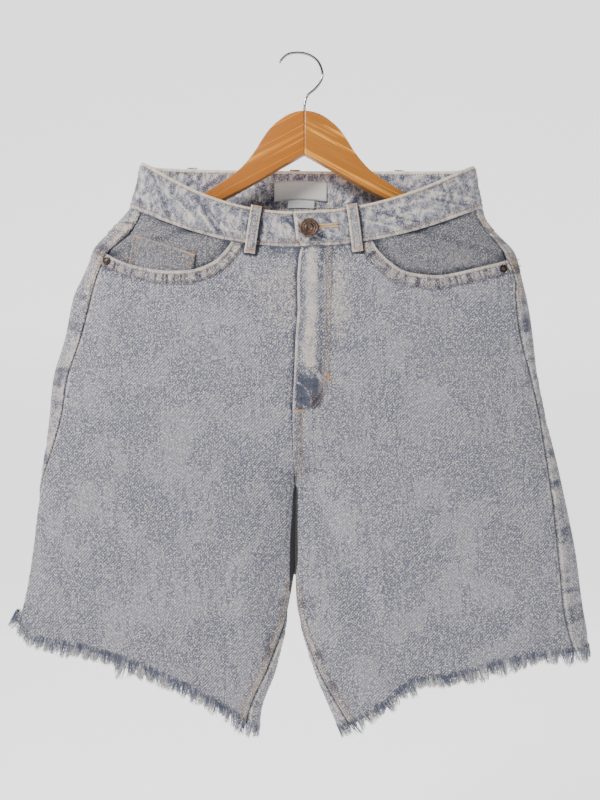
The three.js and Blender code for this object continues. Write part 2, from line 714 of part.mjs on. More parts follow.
// A comb: a narrow strip under the hem whose lower face is drawn out into four-sided locks. It
// hangs from the panel's own last row, so each of its columns lies on a facet of the panel
function fringe(half, face, seed) {
  const next = numberStream(seed);
  const share = face === 'front' ? frontShare : backShare;
  const panelColumns = face === 'front' ? FRONT_COLUMNS : BACK_COLUMNS;
  const inset = (WALL - FRINGE_WALL) / 2;
  const above = PANEL_LEVELS[PANEL_LEVELS.length - 2];
  const corners = evenSteps(panelColumns).map((w) => {
    const frame = surfaceFrame(half, HEM_LEVEL, share(half, HEM_LEVEL, w));
    const upper = surfaceFrame(half, above, share(half, above, w));
    const outer = offsetPoint(frame, -inset);
    const inner = offsetPoint(frame, -inset - FRINGE_WALL);
    const down = outer.clone().sub(offsetPoint(upper, -inset)).normalize();
    return { outer, inner, down };
  });
  const columns = [];
  for (let c = 0; c < panelColumns; c += 1) {
    const from = corners[c];
    const to = corners[c + 1];
    const count = Math.max(1, Math.round(from.outer.distanceTo(to.outer) / LOCK_SPACING));
    for (let k = 0; k < count; k += 1) {
      const w = k === 0 ? 0 : (k + 0.6 * (next() - 0.5)) / count;
      columns.push(hemColumn(from, to, w));
    }
  }
  columns.push(hemColumn(corners[panelColumns], corners[panelColumns], 0));
  const positions = columns.flatMap((column) => column.flatMap((point) => point.toArray()));
  const triangles = [];
  const quad = (p, q, r, u) => triangles.push(p, q, r, p, r, u);
  columns.slice(0, -1).forEach((column, k) => {
    const after = columns[k + 1];
    const tip = new THREE.Vector3();
    for (const point of [column[2], column[3], after[2], after[3]]) tip.addScaledVector(point, 0.25);
    const down = column[2].clone().sub(column[0]).normalize();
    const across = after[2].clone().sub(column[2]).normalize();
    tip.addScaledVector(down, lerp(LOCK_SHORTEST, LOCK_LONGEST, next() ** 1.4));
    tip.addScaledVector(across, LOCK_LEAN * (next() - 0.5));
    const apex = positions.length / 3;
    positions.push(tip.x, tip.y, tip.z);
    const i = 4 * k;
    quad(i, i + 2, i + 6, i + 4);
    quad(i + 1, i + 5, i + 7, i + 3);
    quad(i, i + 4, i + 5, i + 1);
    triangles.push(i + 2, apex, i + 6);
    triangles.push(i + 6, apex, i + 7);
    triangles.push(i + 7, apex, i + 3);
    triangles.push(i + 3, apex, i + 2);
  });
  const end = 4 * (columns.length - 1);
  quad(0, 1, 3, 2);
  quad(end, end + 2, end + 3, end + 1);
  if (signedVolume(positions, triangles) < 0) triangles.reverse();
  return geometryFrom(positions, triangles);
}

// The four corners of a column of the strip: outer and inner at its top, then at its bottom
function hemColumn(from, to, w) {
  const outer = from.outer.clone().lerp(to.outer, w);
  const inner = from.inner.clone().lerp(to.inner, w);
  const down = from.down.clone().lerp(to.down, w).normalize();
  return [SEAM_GAP, SEAM_GAP + FRINGE_STRIP].flatMap((drop) => [
    outer.clone().addScaledVector(down, drop),
    inner.clone().addScaledVector(down, drop),
  ]);
}

// One arm: rounded rectangular sections along the profile, mirrored by side
function armPiece(side, bore) {
  const corners = 12;
  const sections = ARM.map((row, k) => {
    const first = k === 0 ? MITRE_GAP : 0;
    const x = NECK_X + side * (row.out + first);
    const sweep = ARM_SWEEP * smoothstep(row.out, 60, 226);
    const narrow = k === ARM.length - 1 ? 0.55 : 1;
    const halfHeight = ((row.top - row.bottom) / 2) * (k === ARM.length - 1 ? 0.6 : 1);
    const middleZ = (row.top + row.bottom) / 2;
    const halfWidth = (ARM_THICKNESS / 2) * narrow;
    const edge = Math.min(ARM_EDGE, halfWidth * 0.7);
    const ring = [];
    for (let c = 0; c < corners; c += 1) {
      const quarter = Math.floor(c / 3);
      const angle = (Math.PI / 2) * (quarter + (c % 3) / 2);
      const cy = (quarter === 0 || quarter === 3 ? 1 : -1) * (halfWidth - edge);
      const cz = (quarter < 2 ? 1 : -1) * (halfHeight - edge);
      ring.push(new THREE.Vector3(
        x,
        sweep + cy + edge * Math.cos(angle),
        middleZ + cz + edge * Math.sin(angle),
      ));
    }
    return ring;
  });
  const positions = sections.flat().flatMap((point) => point.toArray());
  const triangles = [];
  for (let s = 0; s < sections.length - 1; s += 1) {
    for (let c = 0; c < corners; c += 1) {
      const a = s * corners + c;
      const b = s * corners + ((c + 1) % corners);
      triangles.push(a, b, b + corners, a, b + corners, a + corners);
    }
  }
  const end = (sections.length - 1) * corners;
  for (let c = 1; c < corners - 1; c += 1) {
    triangles.push(0, c + 1, c);
    triangles.push(end, end + c, end + c + 1);
  }
  if (signedVolume(positions, triangles) < 0) triangles.reverse();
  return fromManifold(toManifold(geometryFrom(positions, triangles)).subtract(bore));
}

function wire(radius, path, steps) {
  const circle = new THREE.Shape();
  circle.absarc(0, 0, radius, 0, 2 * Math.PI);
  const curve = new THREE.CatmullRomCurve3(path.map(([x, z]) => new THREE.Vector3(x, 0, z)));
  return new THREE.ExtrudeGeometry(circle, { steps, curveSegments: 4, extrudePath: curve });
}

function hanger() {
  const last = HOOK_PATH[HOOK_PATH.length - 1];
  const borePath = [[last[0], -58], [last[0], last[1] - HOOK_CLEARANCE]];
  const bore = toManifold(wire(HOOK_RADIUS + HOOK_CLEARANCE, borePath, 1));
  const group = new THREE.Group();
  group.add(named('hanger_arm_right', armPiece(-1, bore), WOOD));
  group.add(named('hanger_arm_left', armPiece(1, bore), WOOD));
  group.add(named('hook', wire(HOOK_RADIUS, HOOK_PATH, 38), STEEL));
  return group;
}

function shorts() {
  const group = new THREE.Group();
  for (const half of Object.values(HALVES)) {
    group.add(named('front_' + half.name, frontPanel(half), DENIM));
    group.add(named('back_' + half.name, backPanel(half), DENIM));
    group.add(named('yoke_' + half.name, yoke(half), DENIM));
    group.add(named('pocket_facing_' + half.name, pocketFacing(half), DENIM_SHADE));
    group.add(named('back_pocket_' + half.name, backPocket(half), DENIM));
    group.add(named('waistband_front_' + half.name, frontBand(half), DENIM));
    const seed = half.side < 0 ? 11 : 47;
    group.add(named('fringe_front_' + half.name, fringe(half, 'front', seed), YARN));
    group.add(named('fringe_back_' + half.name, fringe(half, 'back', seed + 5), YARN));
  }
  group.add(named('waistband_back', backBand(), DENIM));
  group.add(named('coin_pocket', coinPocket(), DENIM));
  for (const loop of LOOPS) group.add(named(loop.name, beltLoop(loop), DENIM));
  for (const label of LABELS) group.add(named(label.name, labelPiece(label), LABEL_CLOTH));
  for (const place of RIVETS) group.add(named(place.name, rivet(place), COPPER));
  group.add(named('button', button(), COPPER));
  return group;
}

const part = new THREE.Group();
part.add(hanger());
part.add(shorts());

export default part;
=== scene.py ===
# Denim shorts on a wooden hanger: cloth, stitching, frayed hems, fastenings, wood and wire.
# Sizes are in millimetres in the tables and in metres in the meshes.
import math
import random

import bmesh
import bpy
import mathutils
import numpy as np
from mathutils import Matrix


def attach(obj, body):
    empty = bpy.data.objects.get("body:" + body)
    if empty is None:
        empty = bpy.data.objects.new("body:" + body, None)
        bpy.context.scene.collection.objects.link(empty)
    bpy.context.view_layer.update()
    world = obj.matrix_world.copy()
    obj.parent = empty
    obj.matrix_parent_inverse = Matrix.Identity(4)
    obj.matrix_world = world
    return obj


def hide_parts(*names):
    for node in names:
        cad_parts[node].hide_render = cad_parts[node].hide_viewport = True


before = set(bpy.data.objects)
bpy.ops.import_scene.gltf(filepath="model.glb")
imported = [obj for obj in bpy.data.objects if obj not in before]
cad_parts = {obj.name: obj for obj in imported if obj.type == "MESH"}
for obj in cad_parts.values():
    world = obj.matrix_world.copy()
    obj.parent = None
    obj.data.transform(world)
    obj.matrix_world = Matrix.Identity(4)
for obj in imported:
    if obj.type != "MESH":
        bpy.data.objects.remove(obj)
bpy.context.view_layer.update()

MM = 0.001

# Cloth and seams
WALL = 1.6
BAND_WALL = 2.4
LAP = 1.9

# Heights: a level is the distance below the waist seam, measured down the centre front
WAIST_SEAM_Z = -217.0
BAND_TOP_LEVEL = -38.0
CROTCH_LEVEL = 256.0
HEM_LEVEL = 524.0
BACK_RISE = 49.0
CENTRE_X = -5.0
ROUNDNESS = 2.6
CROTCH_BLEND = 42.0
THIGHS_PART_FROM = 345.0
THIGHS_PART_TO = 400.0
THIGH_OVERLAP = 0.4
LOOP_WIDTH, LOOP_TOP_LEVEL, LOOP_BOTTOM_LEVEL, LOOP_BOW = 11.5, -40, 11, 3.2
SIDE_BLEND_FROM = 60.0
SIDE_BLEND_TO = 340.0


def table(columns, rows):
    return {name: np.array([row[i] for row in rows]) for i, name in enumerate(columns)}


# Outline: a row for each level, with the side edge of each half, how far in front of it the
# side seam lies, and the inner edge of each leg
OUTLINE = table(
    ["level", "rightX", "rightZ", "rightSeam", "leftX", "leftZ", "leftSeam",
     "rightInner", "leftInner", "rightInseam", "leftInseam"],
    [
        (-38, -174, -120, 14, 193, -124, 12, -5, -5, 0, 0),
        (0, -187, -170, 16, 202, -171, 12, -5, -5, 0, 0),
        (19, -203, -190, 21, 209, -190, 9, -5, -5, 0, 0),
        (39, -225, -214, 19, 233, -214, 13, -5, -5, 0, 0),
        (51, -230, -228, 17, 240, -228, 14, -5, -5, 0, 0),
        (67, -238, -247, 18, 244, -247, 10, -5, -5, 0, 0),
        (83, -247, -267, 22, 249, -267, 15, -5, -5, 0, 0),
        (121, -257, -313, 20, 256, -313, 16, -5, -5, 0, 0),
        (155, -269, -353, 19, 261, -353, 11, -5, -5, 0, 0),
        (191, -274, -397, 17, 269, -397, 9, -5, -5, 0, 0),
        (221, -278, -430, 11, 278, -430, 13, -5, -5, 0, 0),
        (256, -283, -464, 4, 286, -464, 16, -6.5, -2.5, 0, 0),
        (324, -288, -510, 0, 296, -511, 20, -9.5, -2.3, 0, 0),
        (390, -294, -555, 0, 305, -558, 24, -12, -3, 0, 0),
        (458, -302, -600, 0, 311, -606, 25, -25, 15, 9, 5),
        (497, -308, -624, 0, 316, -634, 24, -40, 31, 11, 9),
        (524, -313, -640, 0, 318, -653, 20, -44, 43, 14, 12),
    ],
)
DEPTH = table(
    ["level", "front", "back"],
    [(-38, 29, 24), (0, 31, 26), (51, 33, 28), (121, 33, 30), (191, 32, 30), (256, 30, 28),
     (390, 25, 24), (524, 21, 20)],
)

# Places where the hem turns up
HEM_LIFTS = [
    {"x": -316, "width": 15, "lift": 26, "reach": 60},
    {"x": 124, "width": 26, "lift": 12, "reach": 50},
]

# Creases: soft troughs (depth above 0) and ridges (below 0), each with the face that it is on,
# three points in front view, its width and its depth
CREASES = [
    ("front", (6, -432), (44, -545), (98, -672), 15, 5.5),
    ("front", (34, -470), (74, -580), (128, -660), 22, -2.5),
    ("front", (-300, -612), (-240, -606), (-190, -604), 8, 2.2),
    ("front", (-56, -505), (-48, -590), (-58, -668), 16, -3),
    ("front", (-86, -500), (-84, -590), (-92, -660), 14, 2.2),
    ("front", (-190, -262), (-120, -300), (-60, -320), 16, 2.0),
    ("front", (200, -268), (130, -306), (60, -330), 16, 2.0),
    ("front", (-150, -400), (-90, -440), (-30, -452), 14, 2.4),
    ("front", (150, -402), (90, -440), (26, -446), 14, 2.2),
    ("front", (230, -330), (214, -430), (236, -540), 18, 2.2),
    ("back", (-250, -330), (-150, -420), (-40, -452), 18, 4.5),
    ("back", (250, -324), (150, -414), (36, -448), 18, 4.8),
    ("back", (-210, -372), (-120, -462), (-34, -500), 14, -2.6),
    ("back", (214, -366), (116, -458), (30, -496), 14, -2.4),
    ("back", (-60, -520), (-84, -600), (-130, -672), 18, 4.2),
    ("back", (60, -520), (92, -604), (150, -664), 17, 3.8),
    ("back", (-230, -480), (-216, -560), (-226, -630), 18, 2.6),
    ("back", (226, -490), (240, -560), (232, -632), 18, 2.4),
]

# Fly: the wearer's left front laps over the right one
FLY_BOTTOM_LEVEL = 168.0
FLY_TONGUE = 12.0
FLY_FLAT_X = 10.0
FLY_RAMP_X = 35.0

# Front pocket openings, from the waist seam to the side seam
OPENING = {
    "right": [(-71, -206), (-75, -216), (-90, -232), (-113, -241.5), (-144, -242.5),
              (-168, -238.5), (-186, -233.5), (-203, -225.5), (-222, -213)],
    "left": [(77, -206), (81, -217), (95, -232), (113, -243.5), (142, -247.5),
             (162, -245.5), (185, -240), (207, -234.5), (222, -230), (240, -222)],
}
YOKE_SIDE = 13.0
YOKE_CENTRE = 62.0


def lerp(a, b, share):
    return a + (b - a) * share


def smoothstep(value, low, high):
    share = np.clip((np.asarray(value, dtype=float) - low) / (high - low), 0, 1)
    return share * share * (3 - 2 * share)


def bell(away, width):
    return np.exp(-((away / width) ** 2))


def bump(d, low, high, soft=1.0):
    return smoothstep(d, low - soft, low + soft) * (1 - smoothstep(d, high - soft, high + soft))


def unit(directions):
    return directions / np.maximum(np.linalg.norm(directions, axis=-1, keepdims=True), 1e-9)


def walked_length(points):
    """How far along a path each of its points is."""
    steps = np.linalg.norm(np.diff(points, axis=0), axis=1)
    return np.concatenate([[0], np.cumsum(steps)])


def places_along(at, walked, field):
    """A field of vectors, given at the points of a path, at other lengths along it."""
    return np.stack([np.interp(at, walked, field[:, k]) for k in range(3)], axis=1)


class Half:
    def __init__(self, name, side):
        self.name = name
        self.side = side


RIGHT = Half("right", -1)
LEFT = Half("left", 1)


# The surface of the shorts
def column_at(rows, name, level):
    """A table's column at a level, on a smooth curve through the rows."""
    levels = rows["level"].astype(float)
    values = rows[name].astype(float)
    last = len(levels) - 1
    before = np.maximum(np.arange(last + 1) - 1, 0)
    after = np.minimum(np.arange(last + 1) + 1, last)
    slopes = (values[after] - values[before]) / (levels[after] - levels[before])
    level = np.asarray(level, dtype=float)
    i = np.clip(np.searchsorted(levels, level, side="right") - 1, 0, last - 1)
    span = levels[i + 1] - levels[i]
    s = (level - levels[i]) / span
    rise = values[i + 1] - values[i]
    m0 = slopes[i] * span
    m1 = slopes[i + 1] * span
    inside = values[i] + s * (m0 + s * (3 * rise - 2 * m0 - m1 + s * (m0 + m1 - 2 * rise)))
    below = values[i] + m0 * s
    above = values[i + 1] + m1 * (s - 1)
    return np.where(s < 0, below, np.where(s > 1, above, inside))


def rounded(value):
    return np.sign(value) * np.abs(value) ** (2 / ROUNDNESS)


def ring_shape(t, level):
    """Share across and share of depth of a ring point. t is 0 at the inner front edge, 0.5 at
    the side and 1 at the inner back edge."""
    outward = smoothstep(1 - np.abs(2 * t - 1), 0.1, 0.7)
    quick = smoothstep(level, CROTCH_LEVEL - CROTCH_BLEND, CROTCH_LEVEL)
    closed = lerp(quick, smoothstep(level, SIDE_BLEND_FROM, SIDE_BLEND_TO), outward)
    angle = math.pi * (np.clip(t, 0, 1) - 0.5)
    beyond = np.where(t < 0, -t, np.maximum(t - 1, 0))
    open_across = rounded(np.cos(angle)) - 2 * beyond
    open_depth = rounded(np.sin(angle))
    closed_angle = math.pi * (2 * t - 1)
    closed_across = 0.5 + 0.5 * rounded(np.cos(closed_angle))
    closed_depth = rounded(np.sin(closed_angle))
    return lerp(open_across, closed_across, closed), lerp(open_depth, closed_depth, closed)


def distance_to_line(x, z, line):
    """Distance from points to a polyline, how far along it the nearest place is, on which side
    of it the points lie, its whole length, and how many of its stretches lie before that place."""
    nearest = np.full(np.shape(x), np.inf)
    along = np.zeros(np.shape(x))
    turned = np.zeros(np.shape(x))
    passed = np.zeros(np.shape(x))
    reached = 0.0
    for k, ((ax, az), (bx, bz)) in enumerate(zip(line[:-1], line[1:])):
        dx, dz = bx - ax, bz - az
        length = math.hypot(dx, dz)
        share = np.clip(((x - ax) * dx + (z - az) * dz) / (length * length), 0, 1)
        distance = np.hypot(x - ax - share * dx, z - az - share * dz)
        closer = distance < nearest
        nearest = np.where(closer, distance, nearest)
        along = np.where(closer, reached + share * length, along)
        turned = np.where(closer, np.sign(dx * (z - az) - dz * (x - ax)), turned)
        passed = np.where(closer, k + share, passed)
        reached += length
    return nearest, along, turned, reached, passed


def crease_shift(face, x, z):
    shift = np.zeros(np.shape(x))
    for own_face, *line, width, depth in CREASES:
        if own_face == face:
            nearest, _, _, _, passed = distance_to_line(x, z, line)
            fade = np.sin(math.pi * np.clip(0.08 + 0.84 * passed / (len(line) - 1), 0, 1))
            shift = shift + depth * fade * bell(nearest, width)
    return shift


def surface_point(half, level, t):
    """Points of the outer surface, in millimetres."""
    level, t = np.broadcast_arrays(np.asarray(level, dtype=float), np.asarray(t, dtype=float))
    across, depth_share = ring_shape(t, level)
    outer_x = column_at(OUTLINE, half.name + "X", level)
    outer_z = column_at(OUTLINE, half.name + "Z", level)
    inner_x = np.where(
        level < CROTCH_LEVEL - CROTCH_BLEND, CENTRE_X, column_at(OUTLINE, half.name + "Inner", level)
    )
    # The halves meet down to the crotch, and behind it down to where the thighs part
    joined = 1 - smoothstep(level, THIGHS_PART_FROM, THIGHS_PART_TO)
    joined = joined * smoothstep(level, CROTCH_LEVEL - CROTCH_BLEND - 6, CROTCH_LEVEL - CROTCH_BLEND)
    in_two = smoothstep(level, CROTCH_LEVEL - 5, CROTCH_LEVEL + 2)
    touching = lerp(1, smoothstep(depth_share, -0.6, -0.05), in_two) * joined
    inner_x = lerp(inner_x, CENTRE_X - half.side * THIGH_OVERLAP, touching)
    x = inner_x + (outer_x - inner_x) * across
    share = np.clip(across, 0, 1)
    back_share = smoothstep(depth_share, -1, 1)
    rise = np.where(level < CROTCH_LEVEL, BACK_RISE * (1 - level / CROTCH_LEVEL), 0)
    bow = np.clip(1 - level / CROTCH_LEVEL, -1, 1)
    inner_z = WAIST_SEAM_Z - level + rise * back_share
    bow = lerp(bow, bow * 0.4, back_share)
    z = inner_z + (outer_z - inner_z) * (share - bow * share * (1 - share))
    for place in HEM_LIFTS:
        near = bell(x - place["x"], place["width"])
        z = z + place["lift"] * near * smoothstep(level, HEM_LEVEL - place["reach"], HEM_LEVEL)
    in_front = depth_share < 0
    depth = np.where(in_front, column_at(DEPTH, "front", level), column_at(DEPTH, "back", level))
    shift = np.where(in_front, crease_shift("front", x, z), crease_shift("back", x, z))
    inward = -np.sign(depth_share) * smoothstep(np.abs(depth_share), 0.1, 0.7)
    return np.stack([x, depth_share * depth + inward * shift, z], axis=-1)


def surface_frame(half, level, t):
    """Points and outward directions."""
    step, reach = 0.004, 0.8
    point = surface_point(half, level, t)
    across = surface_point(half, level, t + step) - surface_point(half, level, t - step)
    down = surface_point(half, level + reach, t) - surface_point(half, level - reach, t)
    return point, unit(np.cross(across, down) * -half.side)


def fly_lift(half, level, x):
    if half.side < 0:
        return np.zeros(np.shape(x))
    across = 1 - smoothstep(x, FLY_FLAT_X, FLY_RAMP_X)
    return LAP * across * (1 - smoothstep(level, FLY_BOTTOM_LEVEL + 4, FLY_BOTTOM_LEVEL + 24))


def share_at_x(half, level, x, face):
    """The ring share at which the front or back of a half crosses x."""
    level, x = np.broadcast_arrays(np.asarray(level, dtype=float), np.asarray(x, dtype=float))
    low = np.full(x.shape, 0.0 if face == "front" else 0.5)
    high = low + 0.5
    growing = 1 if face == "front" else -1
    for _ in range(15):
        middle = (low + high) / 2
        short = (surface_point(half, level, middle)[..., 0] - x) * half.side * growing < 0
        low = np.where(short, middle, low)
        high = np.where(short, high, middle)
    return (low + high) / 2


def side_seam_share(half, level):
    inset = np.maximum(column_at(OUTLINE, half.name + "Seam", level), 0)
    x = column_at(OUTLINE, half.name + "X", level) - half.side * inset
    return np.where(inset < 0.5, 0.5, share_at_x(half, level, x, "front"))


def inseam_share(half, level):
    inset = column_at(OUTLINE, half.name + "Inseam", level)
    x = column_at(OUTLINE, half.name + "Inner", level) + half.side * inset
    found = share_at_x(half, level, x, "front")
    return np.where((level < CROTCH_LEVEL) | (inset < 0.3), 0.0, found)


def walked_shares(half, levels, start, end, columns):
    """For each row, shares that walk evenly from start to end along the ring."""
    steps = 120
    fractions = np.linspace(0, 1, steps + 1)
    shares = start[:, None] + (end - start)[:, None] * fractions[None, :]
    points = surface_point(half, levels[:, None], shares)
    lengths = np.linalg.norm(np.diff(points, axis=1), axis=-1)
    walked = np.concatenate([np.zeros((len(levels), 1)), np.cumsum(lengths, axis=1)], axis=1)
    wanted = np.linspace(0, 1, columns + 1)
    return np.array([
        np.interp(wanted * walked[r, -1], walked[r], shares[r]) for r in range(len(levels))
    ]), walked[:, -1]


def locate(face, x, z):
    """The half, level and share of points of the front or back given in front view."""
    x, z = np.broadcast_arrays(np.asarray(x, dtype=float), np.asarray(z, dtype=float))
    half = RIGHT if float(np.mean(x)) < CENTRE_X else LEFT
    level = WAIST_SEAM_Z - z
    for _ in range(5):
        reached = surface_point(half, level, share_at_x(half, level, x, face))[..., 2]
        level = np.clip(level + 0.95 * (reached - z), BAND_TOP_LEVEL - 4, HEM_LEVEL + 4)
    return half, level, share_at_x(half, level, x, face)


def front_start(half, levels):
    """Where the front starts: at the inseam, or at the tongue under the fly."""
    tongue = (half.side < 0) & (levels < FLY_BOTTOM_LEVEL - 3)
    width = 2 * np.abs(column_at(OUTLINE, half.name + "X", levels))
    return np.where(tongue, -FLY_TONGUE / width, inseam_share(half, levels))


def share_grid(half, face, level, columns):
    """Ring shares of even columns on the front or back of a half, for a grid of levels."""
    coarse = np.concatenate([np.arange(-42, 163, 6), [164.9, 165.1], np.arange(168, 531, 6)])
    seam = side_seam_share(half, coarse)
    if face == "front":
        shares, _ = walked_shares(half, coarse, front_start(half, coarse), seam, columns)
    else:
        shares, _ = walked_shares(half, coarse, seam, 1 + inseam_share(half, coarse), columns)
    return np.stack([np.interp(level[:, c], coarse, shares[:, c]) for c in range(columns + 1)], axis=1)


# Seams and edges, as lines in front view
def seam_points(half, share, first, last, count=60):
    levels = np.linspace(first, last, count)
    return [tuple(p) for p in surface_point(half, levels, share(half, levels))[:, [0, 2]]]


def smooth_line(points, count=60):
    """A Catmull-Rom curve through the points."""
    line = np.array(points, dtype=float)
    padded = np.vstack([2 * line[0] - line[1], line, 2 * line[-1] - line[-2]])
    curve = []
    for u in np.linspace(0, len(line) - 1, count):
        i = min(int(u), len(line) - 2)
        s = u - i
        p0, p1, p2, p3 = padded[i:i + 4]
        curve.append(0.5 * (2 * p1 + (p2 - p0) * s + (2 * p0 - 5 * p1 + 4 * p2 - p3) * s * s
                            + (3 * p1 - p0 - 3 * p2 + p3) * s ** 3))
    return [tuple(p) for p in curve]


def wobble(s, seed, wavelength):
    """Smooth uneven waves from -1 to 1 along a length."""
    draw = random.Random(seed)
    total = 0
    for share in (1.0, 0.61, 1.73, 0.37):
        phase = draw.uniform(0, 2 * math.pi)
        total = total + np.sin(2 * math.pi * s * share / wavelength + phase)
    return total / 2.6


def patches(x, z, seed, size):
    """Smooth uneven patches from -1 to 1 over the cloth."""
    draw = random.Random(seed)
    total = 0
    for _ in range(7):
        angle = draw.uniform(0, math.pi)
        wave = size * draw.uniform(0.7, 1.6)
        phase = draw.uniform(0, 2 * math.pi)
        run = x * math.cos(angle) + z * math.sin(angle)
        total = total + np.sin(2 * math.pi * run / wave + phase)
    return total / 3.4


# How far the fly's edge and the centre seam stand beside the middle of the cut, down the front
FLY_EDGE_DOWN = [176, 182, 209, 213, 218, 228, 248, 288, 312, 355, 391, 413, 473, 500]
FLY_EDGE_SHIFT = [0, -1.4, 1.9, 5.3, 7.0, 4.6, 2.8, 3.3, 1.1, -0.5, -2.3, -2.3, 0.7, 0]
FRONT_LOOPS = {"right": (-45.5, -53), "left": (55.5, 62)}


def fly_shift(x, z):
    return np.interp(-z, FLY_EDGE_DOWN, FLY_EDGE_SHIFT) * bell(x - CENTRE_X, 26)


def loop_shade(half, x, level):
    """The shadow on the cloth beside a front loop and under its end."""
    top_x, bottom_x = FRONT_LOOPS[half.name]
    share = np.clip((level - LOOP_TOP_LEVEL) / (LOOP_BOTTOM_LEVEL - LOOP_TOP_LEVEL), 0, 1)
    beside = x - lerp(top_x, bottom_x, share)
    reach = LOOP_WIDTH / 2
    near = 1.5 * bump(beside, reach - 1.5, reach + 2.4, 0.9) + 0.8 * bump(beside, -reach - 1.8, -reach + 1, 0.8)
    above = 1 - smoothstep(level, LOOP_BOTTOM_LEVEL, LOOP_BOTTOM_LEVEL + 3)
    end = bump(level, LOOP_BOTTOM_LEVEL - 1, LOOP_BOTTOM_LEVEL + 2.5, 0.9) * bump(beside, -reach, reach, 1)
    return near * above + 1.1 * end


OPENING_LINE = {name: smooth_line(points) for name, points in OPENING.items()}
FLY_STITCH = smooth_line([(34.6, -216), (34, -258), (33, -298), (32, -330), (30, -356), (25, -375),
                          (14, -389)])
CENTRE_SEAM = [(CENTRE_X, -216), (CENTRE_X, -475)]
SIDE_SEAM = {h.name: seam_points(h, side_seam_share, 0, HEM_LEVEL) for h in (RIGHT, LEFT)}
INSEAM = {h.name: seam_points(h, inseam_share, CROTCH_LEVEL + 100, HEM_LEVEL) for h in (RIGHT, LEFT)}


def felled(d, s, seed, wide, light=0.5, blot=0.5):
    """A felled seam beside its line: a groove, a raised strip and puckers across it, with paler worn edges,
    painted shade along the groove and indigo blotches beside it.
    """
    uneven = 0.5 + 0.5 * wobble(s, seed + 7, 37)
    ripple = wobble(s, seed, 11)
    groove = -1.0 * bell(d, 1.2)
    strip = 0.5 * bump(d, 1.2, wide, 0.9)
    puckers = 0.4 * ripple * bump(d, 1, wide + 3, 2)
    dark = 0.8 * bell(d, 1.3) + 0.3 * bell(d - wide, 1.3)
    wide_here = wide + 3 + 5 * wobble(s, seed + 5, 19)
    spots = np.clip(wobble(s, seed + 3, 34) * 2.2 - 0.35, 0, 1) * bump(d, 1.5, wide_here, 3)
    wear = light * bump(d, 1.2, 3.4, 0.8) * (0.4 + 0.6 * uneven) + 0.25 * bump(d, 2, wide, 1.5)
    return groove + strip + puckers, wear * (1 - 0.6 * spots), dark + blot * spots


# Worn places, and dark places on the fronts: indigo blotches, and painted shade just under the waistband
PLACE_COLUMNS = ["side", "x", "z", "wide", "high", "share"]
WORN_PLACES = [dict(zip(PLACE_COLUMNS, row)) for row in [
    (-1, -52, -256, 40, 22, 0.24), (-1, -34, -300, 22, 46, 0.14), (-1, -150, -300, 60, 26, 0.14),
    (-1, -190, -520, 30, 34, 0.22), (-1, -42, -570, 9, 90, 0.18), (-1, -100, -560, 50, 30, 0.1),
    (1, 50, -260, 12, 50, 0.22), (1, 84, -300, 40, 30, 0.14), (1, 150, -300, 50, 26, 0.14),
    (1, 120, -440, 60, 40, 0.12), (1, 230, -520, 26, 60, 0.12), (1, 66, -700, 3, 16, 0.4),
]]
INDIGO_AND_SHADE_PLACES = [dict(zip(PLACE_COLUMNS, row)) for row in [
    (-1, -205, -226, 14, 9, 0.5), (-1, -246, -300, 12, 26, 0.4), (-1, -258, -350, 9, 18, 0.4),
    (-1, -34, -642, 6, 14, 0.5), (-1, -20, -600, 4, 7, 0.4), (-1, -120, -380, 50, 26, 0.2),
    (-1, -70, -640, 60, 26, 0.2), (1, 14, -604, 8, 14, 0.45), (1, 24, -655, 8, 14, 0.5),
    (1, 34, -690, 7, 14, 0.4), (1, 12, -377, 10, 14, 0.45), (1, 200, -396, 50, 26, 0.2),
    (1, 240, -300, 10, 30, 0.35), (1, 40, -224, 12, 5, 0.5), (-1, -30, -224, 20, 5, 0.5),
    (1, 250, -350, 8, 16, 0.35), (1, 100, -560, 50, 30, 0.14),
]]


